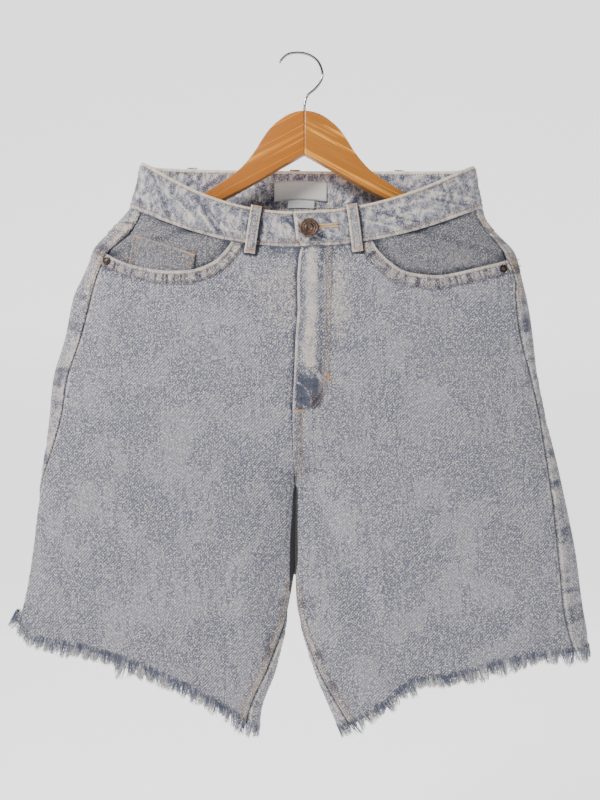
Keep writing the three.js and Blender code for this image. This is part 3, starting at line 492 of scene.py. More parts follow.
def front_relief(half, x, z, level):
    """Raised seams, worn places and dark places of the front (indigo blotches and painted shade), as
    offset in millimetres and two shares."""
    side = half.side
    offset = 0.35 * patches(x, z, 7 + side, 90)
    wear = np.zeros(np.shape(x))
    dark = np.zeros(np.shape(x))

    # The front pocket's faced edge, with indigo blotches between its puckers and painted shade along its stitch
    # groove
    d, s, turned, _, _ = distance_to_line(x, z, OPENING_LINE[half.name])
    below = np.where(turned * side < 0, d, -d)
    ripple = wobble(s, 5 + side, 6.5)
    slow = 0.5 + 0.5 * wobble(s, 9 + side, 41)
    blots = np.clip(ripple * 1.6 + 0.1, 0, 1) * bump(below, 3.4, 12.5, 1.6) * (0.45 + 0.55 * slow)
    offset = offset + 0.8 * bump(below, -3, 12.5, 0.9) - 0.7 * ripple * bump(below, 3, 15, 2)
    offset = offset + 0.55 * bump(below, -3, 3.4, 0.8)
    offset = offset - 0.6 * bell(below - 13.8, 1.5)
    wear = wear + (0.45 + 0.35 * slow) * bump(below, -4, 3.2, 0.9)
    wear = wear + 0.4 * bump(below, 3.4, 12) * np.clip(1 - 1.6 * blots, 0, 1)
    dark = dark + 1.3 * blots + 0.65 * bell(below - 14, 2.2)
    dark = dark + 0.3 * bell(below - 3.9, 0.9)

    # The side seam, which the front meets with a folded edge, and the inseam
    d, s, _, _, _ = distance_to_line(x, z, SIDE_SEAM[half.name])
    shift, light, shade = felled(d, s, 21 + side, 4, 0.55, 0.3)
    offset, wear, dark = offset + shift, wear + light, dark + shade
    d, s, _, _, _ = distance_to_line(x, z, INSEAM[half.name])
    shift, light, shade = felled(d, s, 31 + side, 8, 0.5, 0.3)
    offset, wear, dark = offset + shift, wear + light, dark + shade

    # Under the waistband: a groove, and painted shadow below the band
    offset = offset - 0.9 * bell(level, 2.2)
    gather = 0.5 + 0.5 * wobble(x, 33 + side, 17)
    dark = dark + 0.85 * bell(level, 2.6) + 0.4 * gather * bell(level, 9)

    # Fly and centre seam
    across = x - CENTRE_X
    fly = 1 - smoothstep(level, FLY_BOTTOM_LEVEL, FLY_BOTTOM_LEVEL + 10)
    seam = smoothstep(level, FLY_BOTTOM_LEVEL - 4, FLY_BOTTOM_LEVEL + 6)
    seam = seam * (1 - smoothstep(level, CROTCH_LEVEL + 4, CROTCH_LEVEL + 40))
    ripple = wobble(z, 41, 19)
    if side > 0:
        offset, wear, dark = fly_relief(x, z, level, across, fly, seam, ripple, offset, wear, dark)
    else:
        # Painted shadow on the right front under the edge of the fly that laps over it, and painted shade along
        # the centre seam below
        dark = dark + fly * 0.9 * bump(-across, -3, 2.6, 1.6) + seam * 0.8 * bump(-across, -3, 1.6, 1)
        dark = dark + fly * 0.35 * bell(-across - 5, 5)
        near = bell(across, 26) * smoothstep(level, 2, 20) * (1 - smoothstep(level, 60, 120))
        wear = wear + 0.3 * near
        offset = offset + seam * 0.4 * wobble(z, 46, 12) * bump(-across, 1, 10, 2)
    for place in WORN_PLACES:
        if place["side"] == side:
            near = ((x - place["x"]) / place["wide"]) ** 2 + ((z - place["z"]) / place["high"]) ** 2
            wear = wear + place["share"] * np.exp(-near)
    for place in INDIGO_AND_SHADE_PLACES:
        if place["side"] == side:
            near = ((x - place["x"]) / place["wide"]) ** 2 + ((z - place["z"]) / place["high"]) ** 2
            dark = dark + place["share"] * np.exp(-near)
    dark = dark + loop_shade(half, x, level)
    # Painted black shadow in the narrow gap between the thighs, below the crotch
    inner = (column_at(OUTLINE, half.name + "Inner", level) - x) * side
    slit = bump(level, CROTCH_LEVEL + 4, THIGHS_PART_FROM + 30, 5)
    dark = dark + 4 * slit * smoothstep(inner, -0.7, 0.5)
    hem = HEM_LEVEL - level
    fray = 0.5 + 0.5 * wobble(x, 35 + side, 23)
    dark = dark + 0.62 * bell(hem, 4 + 4 * fray)
    offset = offset + 0.45 * wobble(x, 37 + side, 14) * bell(hem, 9)
    return offset, wear, dark


# Pale creases over the dark foot of the fly
FOOT_CREASES = [
    [(0, -362), (9, -369), (13, -378), (13, -386)], [(0, -384), (7, -387)], [(6, -399), (10, -411)],
    [(20, -352), (24, -362), (22, -370)],
]


def fly_relief(x, z, level, across, fly, seam, ripple, offset, wear, dark):
    """The wearer's left front beside its edge: folded edge, swelling over the zip, topstitching
    with painted shade along its grooves, and the dark place at its foot."""
    d, s, _, _, _ = distance_to_line(x, z, FLY_STITCH)
    foot = smoothstep(level, 120, 146)
    swell = bump(across, 9, 23, 3.5)
    wear = wear + fly * (0.72 * bump(across, -2, 2.6, 0.7) + 0.78 * swell * (1 - foot)
                         * (0.8 + 0.2 * ripple) + 0.35 * bell(across - 44, 12)
                         * bell(level - 60, 60))
    offset = offset + fly * (0.7 * bump(across, -2, 3.4, 0.8) + 1.5 * bump(across, 7, 25, 4.5)
                             - 0.7 * bell(across - 5, 1.6))
    # Painted shade in the grooves beside the folded edge and below the swelling
    dark = dark + fly * (0.55 * bell(across - 5, 1.7)
                         + 0.6 * bell(across - 27.5, 3.2) * (0.75 + 0.5 * ripple))
    ragged = 0.72 + 0.3 * wobble(level, 48, 11) + 0.3 * wobble(across, 49, 7)
    dark = dark + 1.35 * foot * fly * bump(across, 3, 26, 4) * ragged
    wear = wear * (1 - 0.7 * foot * fly * bump(across, 3, 26, 4))
    for line in FOOT_CREASES:
        away = distance_to_line(x, z, line)[0]
        ridge = bell(away, 1.5)
        offset = offset + 0.8 * ridge
        wear = wear + 0.5 * ridge
        dark = dark * (1 - 0.65 * ridge)
    offset = offset + fly * (0.45 * wobble(s, 43, 10) * bump(d, 1, 9, 2.5)
                             - 0.5 * bell(d, 1.8))
    # Painted shade along the topstitching's groove
    dark = dark + 0.35 * fly * bell(d, 3.4)
    shift = 0.7 * bump(across, -2, 7, 0.9) + 0.4 * wobble(z, 45, 10) * bump(across, 0, 11, 2)
    offset = offset + seam * shift
    wear = wear + seam * 0.25 * bump(across, -2, 2.4, 0.7)
    spots = np.clip(wobble(z, 47, 22) * 1.4, 0, 1)
    dark = dark + seam * (0.5 * spots * bump(across, 2, 9, 2) + 0.3 * bell(across - 8, 1.5))
    return offset, wear, dark


def back_relief(half, x, z, level, yoke_line):
    side = half.side
    offset = 0.5 * patches(x, z, 55 + side, 80)
    wear = np.zeros(np.shape(x))
    dark = np.zeros(np.shape(x))
    for lines, seed, wide, blot in ((SIDE_SEAM, 51, 9, 0.4), (INSEAM, 61, 5, 0.3)):
        d, s, _, _, _ = distance_to_line(x, z, lines[half.name])
        shift, light, shade = felled(d, s, seed + side, wide, 0.6, blot)
        patch = np.clip(2.4 * wobble(s, 91 + side, 29) - 0.5, 0, 1) * bump(d, 3, 30, 5)
        offset, wear = offset + shift, wear + light * (1 - patch) + 0.2 * bump(d, 3, 30, 5)
        dark = dark + shade + blot * 1.7 * patch
    across = np.abs(x - CENTRE_X)
    seam = 1 - smoothstep(level, CROTCH_LEVEL - 6, CROTCH_LEVEL + 30)
    shift, light, shade = felled(across, z, 71, 8)
    offset, wear, dark = offset + seam * shift, wear + seam * light, dark + seam * shade
    shift, light, shade = felled(np.abs(yoke_line), x, 75, 8)
    below = np.where(yoke_line < 0, 1, 0.4)
    offset, wear, dark = offset + below * shift, wear + below * light, dark + below * shade
    # A groove under the back waistband, with painted shadow below the band
    offset = offset - 0.9 * bell(level, 2.2)
    dark = dark + 0.7 * bell(level, 3.0)
    seat = bell(across - 95, 60) * bell(level - 170, 70)
    wear = wear + 0.3 * seat
    hem = HEM_LEVEL - level
    dark = dark + 0.5 * bell(hem, 5)
    offset = offset + 0.45 * wobble(x, 39 + side, 14) * bell(hem, 9)
    return offset, wear, dark


# Meshes
def new_object(name, vertices, faces, body="root"):
    mesh = bpy.data.meshes.new(name)
    mesh.from_pydata(np.asarray(vertices).tolist(), [], faces)
    mesh.update()
    obj = bpy.data.objects.new(name, mesh)
    bpy.context.scene.collection.objects.link(obj)
    for polygon in mesh.polygons:
        polygon.use_smooth = True
    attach(obj, body)
    return obj


def add_attribute(obj, name, values):
    layer = obj.data.attributes.new(name, "FLOAT", "POINT")
    layer.data.foreach_set("value", np.asarray(values, dtype=np.float32).ravel())


def add_uv(obj, u, v):
    layer = obj.data.uv_layers.new(name="cloth")
    loops = np.zeros(len(obj.data.loops), dtype=np.int32)
    obj.data.loops.foreach_get("vertex_index", loops)
    uv = np.stack([np.ravel(u)[loops], np.ravel(v)[loops]], axis=-1)
    layer.data.foreach_set("uv", uv.astype(np.float32).ravel())


def grid_faces(rows, columns, flip):
    r, c = np.meshgrid(np.arange(rows - 1), np.arange(columns - 1), indexing="ij")
    a = (r * columns + c).ravel()
    quads = np.stack([a, a + columns, a + columns + 1, a + 1], axis=-1)
    if flip:
        quads = quads[:, ::-1]
    return quads.tolist()


CUTS = {}


def cut_size(points):
    """Width, length and area, in metres, of the flat cloth that a grid of places was laid from."""
    across = np.linalg.norm(np.diff(points, axis=1), axis=-1).sum(axis=1).max()
    down = np.linalg.norm(np.diff(points, axis=0), axis=-1).sum(axis=0).max()
    first = points[1:, :-1] - points[:-1, :-1]
    second = points[:-1, 1:] - points[:-1, :-1]
    area = np.linalg.norm(np.cross(first, second), axis=-1).sum()
    area = min(area, across * down)
    return across * MM, down * MM, area * MM * MM


def cloth_sheet(name, points, normals, offset, wear, dark, u, v, wall, material, marble=0.0):
    """A thin shell: the outer face is the grid moved out by offset."""
    rows, columns = points.shape[:2]
    places = (points + normals * offset[..., None]) * MM
    turn = np.cross(places[1:, :-1] - places[:-1, :-1], places[:-1, 1:] - places[:-1, :-1])
    inward = np.einsum("rci,rci->", turn, normals[:-1, :-1]) < 0
    obj = new_object(name, places.reshape(-1, 3), grid_faces(rows, columns, inward))
    add_attribute(obj, "wear", np.clip(wear, 0, 1))
    add_attribute(obj, "dark", np.clip(dark, 0, 3))
    add_attribute(obj, "marble", np.full(points.shape[:2], marble))
    add_uv(obj, u * MM, v * MM)
    obj.data.materials.append(material)
    CUTS[obj.name] = cut_size(points)
    thick = obj.modifiers.new("wall", "SOLIDIFY")
    thick.thickness = wall * MM
    thick.offset = -1
    thick.use_even_offset = False
    return obj


CELL = 2.5
FINE = 1.9


def front_cloth(half, material):
    rows_flat = np.concatenate([
        np.arange(0, 236, FINE), np.arange(236, CROTCH_LEVEL + 10, FINE * 0.9),
        np.arange(CROTCH_LEVEL + 10, HEM_LEVEL, FINE), [HEM_LEVEL],
    ])
    columns = 152

    # Where each column starts: at the waist seam, or at the pocket's edge
    line = np.array(OPENING_LINE[half.name])
    line = line[np.argsort(line[:, 0])]
    steps = np.arange(0, 110, 1.0)
    probe = np.broadcast_to(steps[:, None], (len(steps), columns + 1))
    place = surface_point(half, probe, share_grid(half, "front", probe, columns))
    edge = np.interp(place[..., 0], line[:, 0], line[:, 1])
    inner_end = OPENING_LINE[half.name][0][0]
    under = (place[..., 2] < edge) | ((place[..., 0] - inner_end) * half.side < 0)
    gap = place[..., 2] - edge
    tops = np.zeros(columns + 1)
    for c in range(columns + 1):
        first = int(np.argmax(under[:, c]))
        if first > 0:
            above, below = gap[first - 1, c], gap[first, c]
            tops[c] = steps[first - 1] + above / (above - below) if above > 0 > below else steps[first]
    reach = 118.0
    share = np.clip(rows_flat[:, None] / reach, 0, 1)
    level = np.where(rows_flat[:, None] < reach, tops + (reach - tops) * share, rows_flat[:, None])
    shares = share_grid(half, "front", level, columns)
    points, normals = surface_frame(half, level, shares)
    x, z = points[..., 0], points[..., 2]
    offset, wear, dark = front_relief(half, x, z, level)
    offset = offset + fly_lift(half, level, x)
    points[..., 0] = x + fly_shift(x, z)
    return cloth_sheet("front_%s_cloth" % half.name, points, normals, offset, wear, dark,
                       x, z, WALL - 0.2, material)


def back_cloth(half, material, columns=130):
    """The back panel below the yoke, its columns shared with the yoke's."""
    w = np.linspace(0, 1, columns + 1)
    top = lerp(YOKE_SIDE, YOKE_CENTRE, w ** 1.3)
    rows = np.concatenate([np.arange(0, 236, CELL), np.arange(236, CROTCH_LEVEL + 10, CELL * 0.7),
                           np.arange(CROTCH_LEVEL + 10, HEM_LEVEL, CELL), [HEM_LEVEL]])
    share = np.clip(rows / 214, 0, 1)
    level = np.where(rows[:, None] < 214, lerp(top[None, :], 214, share[:, None]), rows[:, None])
    return back_sheet("back_%s_cloth" % half.name, half, level, columns, material)


def yoke_cloth(half, material, columns=130):
    w = np.linspace(0, 1, columns + 1)
    bottom = lerp(YOKE_SIDE, YOKE_CENTRE, w ** 1.3)
    level = np.linspace(0, 1, 26)[:, None] * bottom[None, :]
    return back_sheet("yoke_%s_cloth" % half.name, half, level, columns, material)


def yoke_distance(half, level, w):
    """How far above the yoke's seam the places lie."""
    return lerp(YOKE_SIDE, YOKE_CENTRE, w ** 1.3) - level


def back_sheet(name, half, level, columns, material):
    shares = share_grid(half, "back", level, columns)
    points, normals = surface_frame(half, level, shares)
    x, z = points[..., 0], points[..., 2]
    w = np.linspace(0, 1, columns + 1)[None, :]
    offset, wear, dark = back_relief(half, x, z, level, yoke_distance(half, level, w))
    return cloth_sheet(name, points, normals, offset, wear, dark, -x, z, WALL - 0.2, material)


# Materials
def new_material(name, color, roughness=0.8, metallic=0.0):
    material = bpy.data.materials.new(name)
    material.use_nodes = True
    shader = material.node_tree.nodes["Principled BSDF"]
    shader.inputs["Base Color"].default_value = (*color, 1)
    shader.inputs["Roughness"].default_value = roughness
    shader.inputs["Metallic"].default_value = metallic
    return material, material.node_tree, shader


def link(tree, source, target):
    tree.links.new(source, target)


def mix_color(tree, factor, first, second, blend="MIX"):
    node = tree.nodes.new("ShaderNodeMix")
    node.data_type = "RGBA"
    node.blend_type = blend
    for value, socket in ((factor, node.inputs[0]), (first, node.inputs[6]), (second, node.inputs[7])):
        if isinstance(value, bpy.types.NodeSocket):
            link(tree, value, socket)
        elif isinstance(value, tuple):
            socket.default_value = (*value, 1)
        else:
            socket.default_value = value
    return node.outputs[2]


def math_node(tree, operation, first, second):
    node = tree.nodes.new("ShaderNodeMath")
    node.operation = operation
    for value, socket in ((first, node.inputs[0]), (second, node.inputs[1])):
        if isinstance(value, bpy.types.NodeSocket):
            link(tree, value, socket)
        else:
            socket.default_value = value
    return node.outputs[0]


def plus(tree, first, second):
    return math_node(tree, "ADD", first, second)


def times(tree, first, second):
    return math_node(tree, "MULTIPLY", first, second)


def ramp(tree, factor, stops):
    node = tree.nodes.new("ShaderNodeValToRGB")
    link(tree, factor, node.inputs[0])
    elements = node.color_ramp.elements
    for i, (place, color) in enumerate(stops):
        element = elements[i] if i < 2 else elements.new(place)
        element.position = place
        element.color = (*color, 1)
    return node.outputs[0]


def gray_ramp(tree, factor, low, high, bottom=0.0, top=1.0):
    return ramp(tree, factor, [(low, (bottom,) * 3), (high, (top,) * 3)])


def noise(tree, coordinates, scale, detail=3.0, roughness=0.55, distortion=0.0):
    node = tree.nodes.new("ShaderNodeTexNoise")
    link(tree, coordinates, node.inputs["Vector"])
    node.inputs["Scale"].default_value = scale
    node.inputs["Detail"].default_value = detail
    node.inputs["Roughness"].default_value = roughness
    node.inputs["Distortion"].default_value = distortion
    return node.outputs[0]


def mapped(tree, coordinates, scale=(1, 1, 1), rotation=0.0):
    node = tree.nodes.new("ShaderNodeMapping")
    link(tree, coordinates, node.inputs["Vector"])
    node.inputs["Scale"].default_value = scale
    node.inputs["Rotation"].default_value = (0, 0, rotation)
    return node.outputs[0]


def cloth_coordinates(tree):
    node = tree.nodes.new("ShaderNodeUVMap")
    node.uv_map = "cloth"
    return node.outputs[0]


def attribute(tree, name):
    node = tree.nodes.new("ShaderNodeAttribute")
    node.attribute_name = name
    return node.outputs[2]


PALE = (0.70, 0.655, 0.595)
MIDDLE = (0.33, 0.325, 0.375)
BLUE = (0.075, 0.088, 0.16)
DEEP = (0.026, 0.034, 0.075)
WORN = (0.80, 0.72, 0.61)


def denim(name, tone=1.0, twill=0.85, cloud=1.0, streak=0.0):
    """Stone-washed twill: uneven wash, heather, diagonal lines, and the worn places, indigo blotches
    and painted shade that the meshes carry."""
    material, tree, shader = new_material(name, MIDDLE, 0.92)
    shader.inputs["Sheen Weight"].default_value = 0.2
    shader.inputs["Sheen Roughness"].default_value = 0.6
    cloth = cloth_coordinates(tree)
    wear = attribute(tree, "wear")
    dark = attribute(tree, "dark")
    marble = attribute(tree, "marble")

    # Uneven wash, in clouds and short streaks down the leg
    clouds = noise(tree, cloth, 19, 5, 0.62, 0.5)
    streaks = noise(tree, mapped(tree, cloth, (170, 26, 1)), 1.0, 3, 0.6, 0.3)
    wash = plus(tree, times(tree, clouds, 0.62), times(tree, streaks, 0.38))
    base = mix_color(tree, gray_ramp(tree, wash, 0.5, 0.62, 0, 0.6 * cloud), MIDDLE, PALE)
    base = mix_color(tree, gray_ramp(tree, wash, 0.49, 0.37, 0, 0.62 * cloud), base, BLUE)

    # Heather: single yarns lighter and darker than the cloth
    flecks = noise(tree, mapped(tree, cloth, (760, 600, 1)), 1.0, 1, 0.5)
    broad = noise(tree, mapped(tree, cloth, (330, 240, 1)), 1.0, 1, 0.5)
    speck = plus(tree, times(tree, flecks, 0.75), times(tree, broad, 0.25))
    base = mix_color(tree, gray_ramp(tree, speck, 0.5, 0.43, 0, 0.9), base, (0.05, 0.06, 0.115))
    base = mix_color(tree, gray_ramp(tree, speck, 0.5, 0.57, 0, 1.0), base, PALE)

    # Diagonal lines of the twill
    wave = tree.nodes.new("ShaderNodeTexWave")
    wave.wave_type = "BANDS"
    wave.bands_direction = "X"
    wave.wave_profile = "SIN"
    link(tree, mapped(tree, cloth, (1, 1, 1), math.radians(45)), wave.inputs["Vector"])
    wave.inputs["Scale"].default_value = 2 * math.pi / (0.0024 * 20)
    wave.inputs["Distortion"].default_value = 1.6
    wave.inputs["Detail"].default_value = 2
    wave.inputs["Detail Scale"].default_value = 5
    knots = noise(tree, mapped(tree, cloth, (460, 300, 1), math.radians(-30)), 1.0, 1, 0.5, 0.2)
    lines = plus(tree, times(tree, wave.outputs["Fac"], 0.6),
                 times(tree, gray_ramp(tree, knots, 0.4, 0.6), 0.4))
    shown = gray_ramp(tree, noise(tree, cloth, 13, 2, 0.5), 0.4, 0.6, 0.6, 1.0)
    weight = times(tree, shown, twill)
    base = mix_color(tree, times(tree, weight, gray_ramp(tree, lines, 0.62, 0.1)), base, BLUE)

    # Mottling of the waistband, where the wash caught its wrinkles
    spots = noise(tree, mapped(tree, cloth, (150, 95, 1), math.radians(streak)), 1.0, 4, 0.66, 0.35)
    mottled = ramp(tree, spots, [(0.36, DEEP), (0.45, BLUE), (0.52, MIDDLE), (0.62, PALE)])
    share = times(tree, marble, gray_ramp(tree, spots, 0.5, 0.36, 0.45, 1))
    base = mix_color(tree, share, base, mottled)

    # Worn places, and dark places that are indigo blotches and painted shade, broken up by the yarns
    grit = plus(tree, times(tree, spots, 0.5), times(tree, speck, 0.5))
    loose = math_node(tree, "SUBTRACT", grit, 0.5)
    ragged = plus(tree, wear, times(tree, loose, 2.2))
    base = mix_color(tree, gray_ramp(tree, ragged, 0.2, 0.95, 0, 0.88), base, WORN)
    broken = plus(tree, dark, times(tree, loose, -2.2))
    base = mix_color(tree, gray_ramp(tree, broken, 0.2, 1.0, 0, 0.88), base, DEEP)
    base = mix_color(tree, 1.0, base, (tone, tone, tone), "MULTIPLY")
    # Where the dark share is highest the colour goes nearly black: painted deep shadow, as in the gap between the
    # thighs
    depth = times(tree, dark, 0.4)
    base = mix_color(tree, gray_ramp(tree, depth, 0.55, 0.9), base, (0.002, 0.002, 0.003))
    link(tree, base, shader.inputs["Base Color"])

    height = plus(tree, times(tree, lines, 0.45), times(tree, speck, 0.9))
    relief = tree.nodes.new("ShaderNodeBump")
    relief.inputs["Strength"].default_value = 0.8
    relief.inputs["Distance"].default_value = 0.0006
    link(tree, height, relief.inputs["Height"])
    link(tree, relief.outputs[0], shader.inputs["Normal"])
    return material


def plain_cloth(name, color, roughness=0.85):
    material, tree, shader = new_material(name, color, roughness)
    shader.inputs["Sheen Weight"].default_value = 0.2
    return material


LEG_DENIM = denim("stone_washed_denim", 0.72, 0.9, 1.15)
BACK_DENIM = denim("stone_washed_denim_back", 0.75)
BAND_DENIM = denim("mottled_denim", 0.76, 0.5, 1.2, 25)
# A brighter copy of the mottled denim for the back waistband: painted light on it
LIT_BACK_BAND_DENIM = denim("mottled_denim_back", 1.18, 0.5, 1.2, -20)
# A darker copy of the denim for the pocket facings and the coin pocket: painted shade inside the pocket opening
SHADED_FACING_DENIM = denim("pocket_facing_denim", 0.46, 0.6, 1.0)


# Panels
def facing_cloth(half, material, columns=108, first=25):
    """The cloth that shows inside a front pocket, with soft folds across it, painted shade under the pocket's
    edge and the waistband, and painted light and shade on the folds.
    """
    levels = np.arange(0, 92, CELL)
    level = np.broadcast_to(levels[:, None], (len(levels), columns + 1))
    shares = share_grid(half, "front", level, columns)[:, first:]
    level = level[:, first:]
    points, normals = surface_frame(half, level, shares)
    x, z = points[..., 0], points[..., 2]
    rows_of_folds = wobble(z + 0.28 * np.abs(x), 81 + half.side, 26)
    folds = 0.9 * rows_of_folds + 0.3 * patches(x, z, 83, 40)
    d = distance_to_line(x, z, OPENING_LINE[half.name])[0]
    # Painted shade under the pocket's edge and under the waistband; the folds get painted light on their crests
    # and painted shade in their troughs
    dark = 0.75 * bell(d, 7) + 0.8 * bell(level, 4)
    dark = dark + 0.5 * np.clip(-rows_of_folds, 0, 1)
    return cloth_sheet("pocket_facing_%s_cloth" % half.name, points, normals, folds - LAP - 0.1,
                       0.3 * np.clip(rows_of_folds, 0, 1), dark, x, z, WALL - 0.3, material)


def placed_patch(name, half, face, x, z, offset, wear, dark, wall, material, marble=0.0):
    """A patch given in front view on the front or the back."""
    _, level, share = locate(face, x, z)
    points, normals = surface_frame(half, level, share)
    flip = -1 if face == "back" else 1
    return cloth_sheet(name, points, normals, offset, wear, dark, x * flip, z, wall, material, marble)


def coin_pocket_cloth(material):
    outer, inner = np.array(COIN_OUTER), np.array(COIN_INNER)
    down = np.array([COIN_LEAN, -COIN_LOWER])
    u = np.linspace(0, 1, 34)
    top = outer[None, :] + (inner - outer)[None, :] * u[:, None]
    line = np.array(OPENING_LINE["right"])[::-1]
    low, high = np.zeros(34), np.ones(34) * 1.4
    for _ in range(24):
        middle = (low + high) / 2
        place = top + down[None, :] * middle[:, None]
        above = place[:, 1] > np.interp(place[:, 0], line[:, 0], line[:, 1]) - 3
        low, high = np.where(above, middle, low), np.where(above, high, middle)
    v = np.linspace(0, 1, 18)[:, None] * low[None, :]
    x = top[None, :, 0] + down[0] * v
    z = top[None, :, 1] + down[1] * v
    depth = v * COIN_LOWER
    across = u[None, :] * np.hypot(*(inner - outer)) + 0 * depth
    edge = np.minimum(across, np.hypot(*(inner - outer)) - across)
    offset = 0.15 + 0.45 * bump(depth, -2, 9, 0.8) + 0.25 * wobble(across, 91, 9) * bump(depth, 1, 12, 2)
    wear = 0.7 * bump(depth, -2, 1.8, 0.6) + 0.35 * bump(edge, -2, 1.4, 0.6)
    dark = 0.5 * np.clip(wobble(across, 91, 9), 0, 1) * bump(depth, 2, 10, 2) + 0.3 * bump(edge, 1.5, 4)
    return placed_patch("coin_pocket_cloth", RIGHT, "front", x, z, offset - 0.1, wear, dark, 1.2, material)


def back_pocket_cloth(half, material):
    middle = CENTRE_X + half.side * POCKET_CENTRE
    u = np.linspace(-1, 1, 57)[None, :]
    v = np.linspace(0, 1, 61)[:, None]
    reach = POCKET_SIDE + POCKET_POINT * (1 - np.abs(u))
    depth = v * reach
    width = POCKET_WIDTH / 2 - POCKET_TAPER * np.clip(depth / POCKET_SIDE, 0, 1)
    x = middle + half.side * u * width
    z = POCKET_TOP - depth
    edge = np.minimum((1 - np.abs(u)) * width, reach - depth)
    along = depth + 90 * (u + 1)
    puckers = wobble(along, 95 + half.side, 12)
    hem = bump(depth, -2, 14, 1)
    offset = LAP + 0.5 * bump(edge, -3, 7, 1) + 0.3 * puckers * bump(edge, 1, 11, 2)
    offset = offset + 0.5 * hem + 0.3 * puckers * bump(depth, 2, 16, 2) + 0.5 * patches(x, z, 97, 60)
    offset = offset - 1.2 * bell(edge, 0.9)
    wear = 0.8 * bump(edge, -2, 2.2, 0.8) + 0.8 * bump(depth, -2, 2.6, 0.8)
    dark = 0.6 * np.clip(puckers, 0, 1) * bump(edge, 2, 9, 2) + 0.35 * bump(edge, 7, 9)
    return placed_patch("back_pocket_%s_cloth" % half.name, half, "back", x, z, offset, wear, dark,
                        1.4, material)


# White creases set into the waistband, each a line in front view; band_creases gives them all one width
BAND_CREASES = [
    [(-110.5, -167), (-86, -195), (-76.5, -207.5)], [(-80, -185), (-69, -203.5), (-64, -205)],
    [(-135, -163), (-120, -178), (-109, -192.5)], [(-164.5, -163.5), (-161, -177)],
    [(-86, -195), (-70, -200), (-62, -204)], [(-104, -181), (-98, -192)],
    [(102, -172), (134, -166), (161, -156)], [(71, -195), (102, -185.5), (126.5, -178), (156, -178)],
    [(78, -181), (97, -175), (124, -170)], [(137, -168), (172, -166)], [(158, -186), (182, -176)],
    [(-42, -198), (-24, -201.5), (-10, -200)], [(22, -200), (38, -190)], [(92, -190), (120, -186)],
]


def band_creases(x, z):
    ridge = np.zeros(np.shape(x))
    for line in BAND_CREASES:
        d, s, _, total, _ = distance_to_line(x, z, line)
        fade = np.clip(np.sin(math.pi * np.clip(s / total, 0.04, 0.96)), 0, 1) ** 0.5
        ridge = np.maximum(ridge, fade * bell(d, 1.7) * (0.75 + 0.25 * wobble(s, 5, 7)))
    return ridge


def band_relief(along, level, seed, tuck):
    """Wrinkles and rolled edges of the waistband."""
    height = level - BAND_TOP_LEVEL
    tilt = along + tuck * (level + 20)
    offset = 0.75 * wobble(tilt, seed, 19) * bump(height, 3, 35, 4)
    offset = offset + 0.35 * wobble(level * 2.4 + 0.3 * along, seed + 1, 30) * bump(height, 4, 34, 5)
    offset = offset - 1.3 * bell(height, 1.6) - 0.9 * bell(level, 1.6)
    offset = offset - 0.35 * bell(height - 4.2, 1.0)
    offset = offset - 0.35 * bell(level + 4.2, 1.0)
    wear = 0.95 * bump(height, -3, 3.2, 0.9) + 0.5 * bump(level, -3.2, 1, 0.9)
    ridge = np.clip(wobble(tilt, seed, 19) - 0.35, 0, 1) * bump(height, 5, 33, 4)
    wear = wear + 0.7 * ridge
    valley = np.clip(-wobble(tilt, seed, 19) - 0.1, 0, 1) * bump(height, 5, 33, 4)
    dark = 0.7 * valley + 0.5 * bump(height, 4.5, 7, 1) * (0.6 + 0.4 * wobble(along, seed + 2, 12))
    dark = dark + 0.6 * np.clip(wobble(along, seed + 3, 15), 0, 1) * bump(level, -9, -4.5, 1)
    dark = dark + 0.35 * np.clip(wobble(along, seed + 4, 47), 0, 1) * bump(height, 6, 33, 5)
    return offset, wear, dark


def front_band_cloth(half, material, columns=96):
    levels = np.linspace(BAND_TOP_LEVEL, 0.2, 23)
    length = 2 * np.abs(column_at(OUTLINE, half.name + "X", levels))
    start = -FLY_TONGUE / length if half.side < 0 else np.zeros(levels.shape)
    shares, lengths = walked_shares(half, levels, start, np.full(levels.shape, 0.5), columns)
    level = np.broadcast_to(levels[:, None], shares.shape)
    points, normals = surface_frame(half, level, shares)
    along = np.linspace(0, 1, columns + 1)[None, :] * lengths.mean() + 0 * level
    offset, wear, dark = band_relief(along, level, 101 + half.side, 1.1 if half.side < 0 else -2.2)
    x, z = points[..., 0], points[..., 2]
    ridge = band_creases(x, z)
    offset = offset + 1.1 * ridge
    wear = wear + 0.9 * ridge
    end = along - (FLY_TONGUE if half.side < 0 else 0)
    if half.side > 0:
        wear = wear + 0.8 * bump(end, -3, 2.6, 0.8)
        offset = offset - 0.9 * bell(end, 1.4)
    else:
        # Painted shadow where the left end of the band laps over the right
        dark = dark + 0.6 * bump(end, -4, 2, 1.5)
    dark = dark + loop_shade(half, x, level)
    offset = offset + fly_lift(half, level, x)
    points[..., 0] = x + fly_shift(x, z)
    return cloth_sheet("waistband_front_%s_cloth" % half.name, points, normals, offset, wear,
                       dark, x, z, WALL - 0.1, material, 0.8)


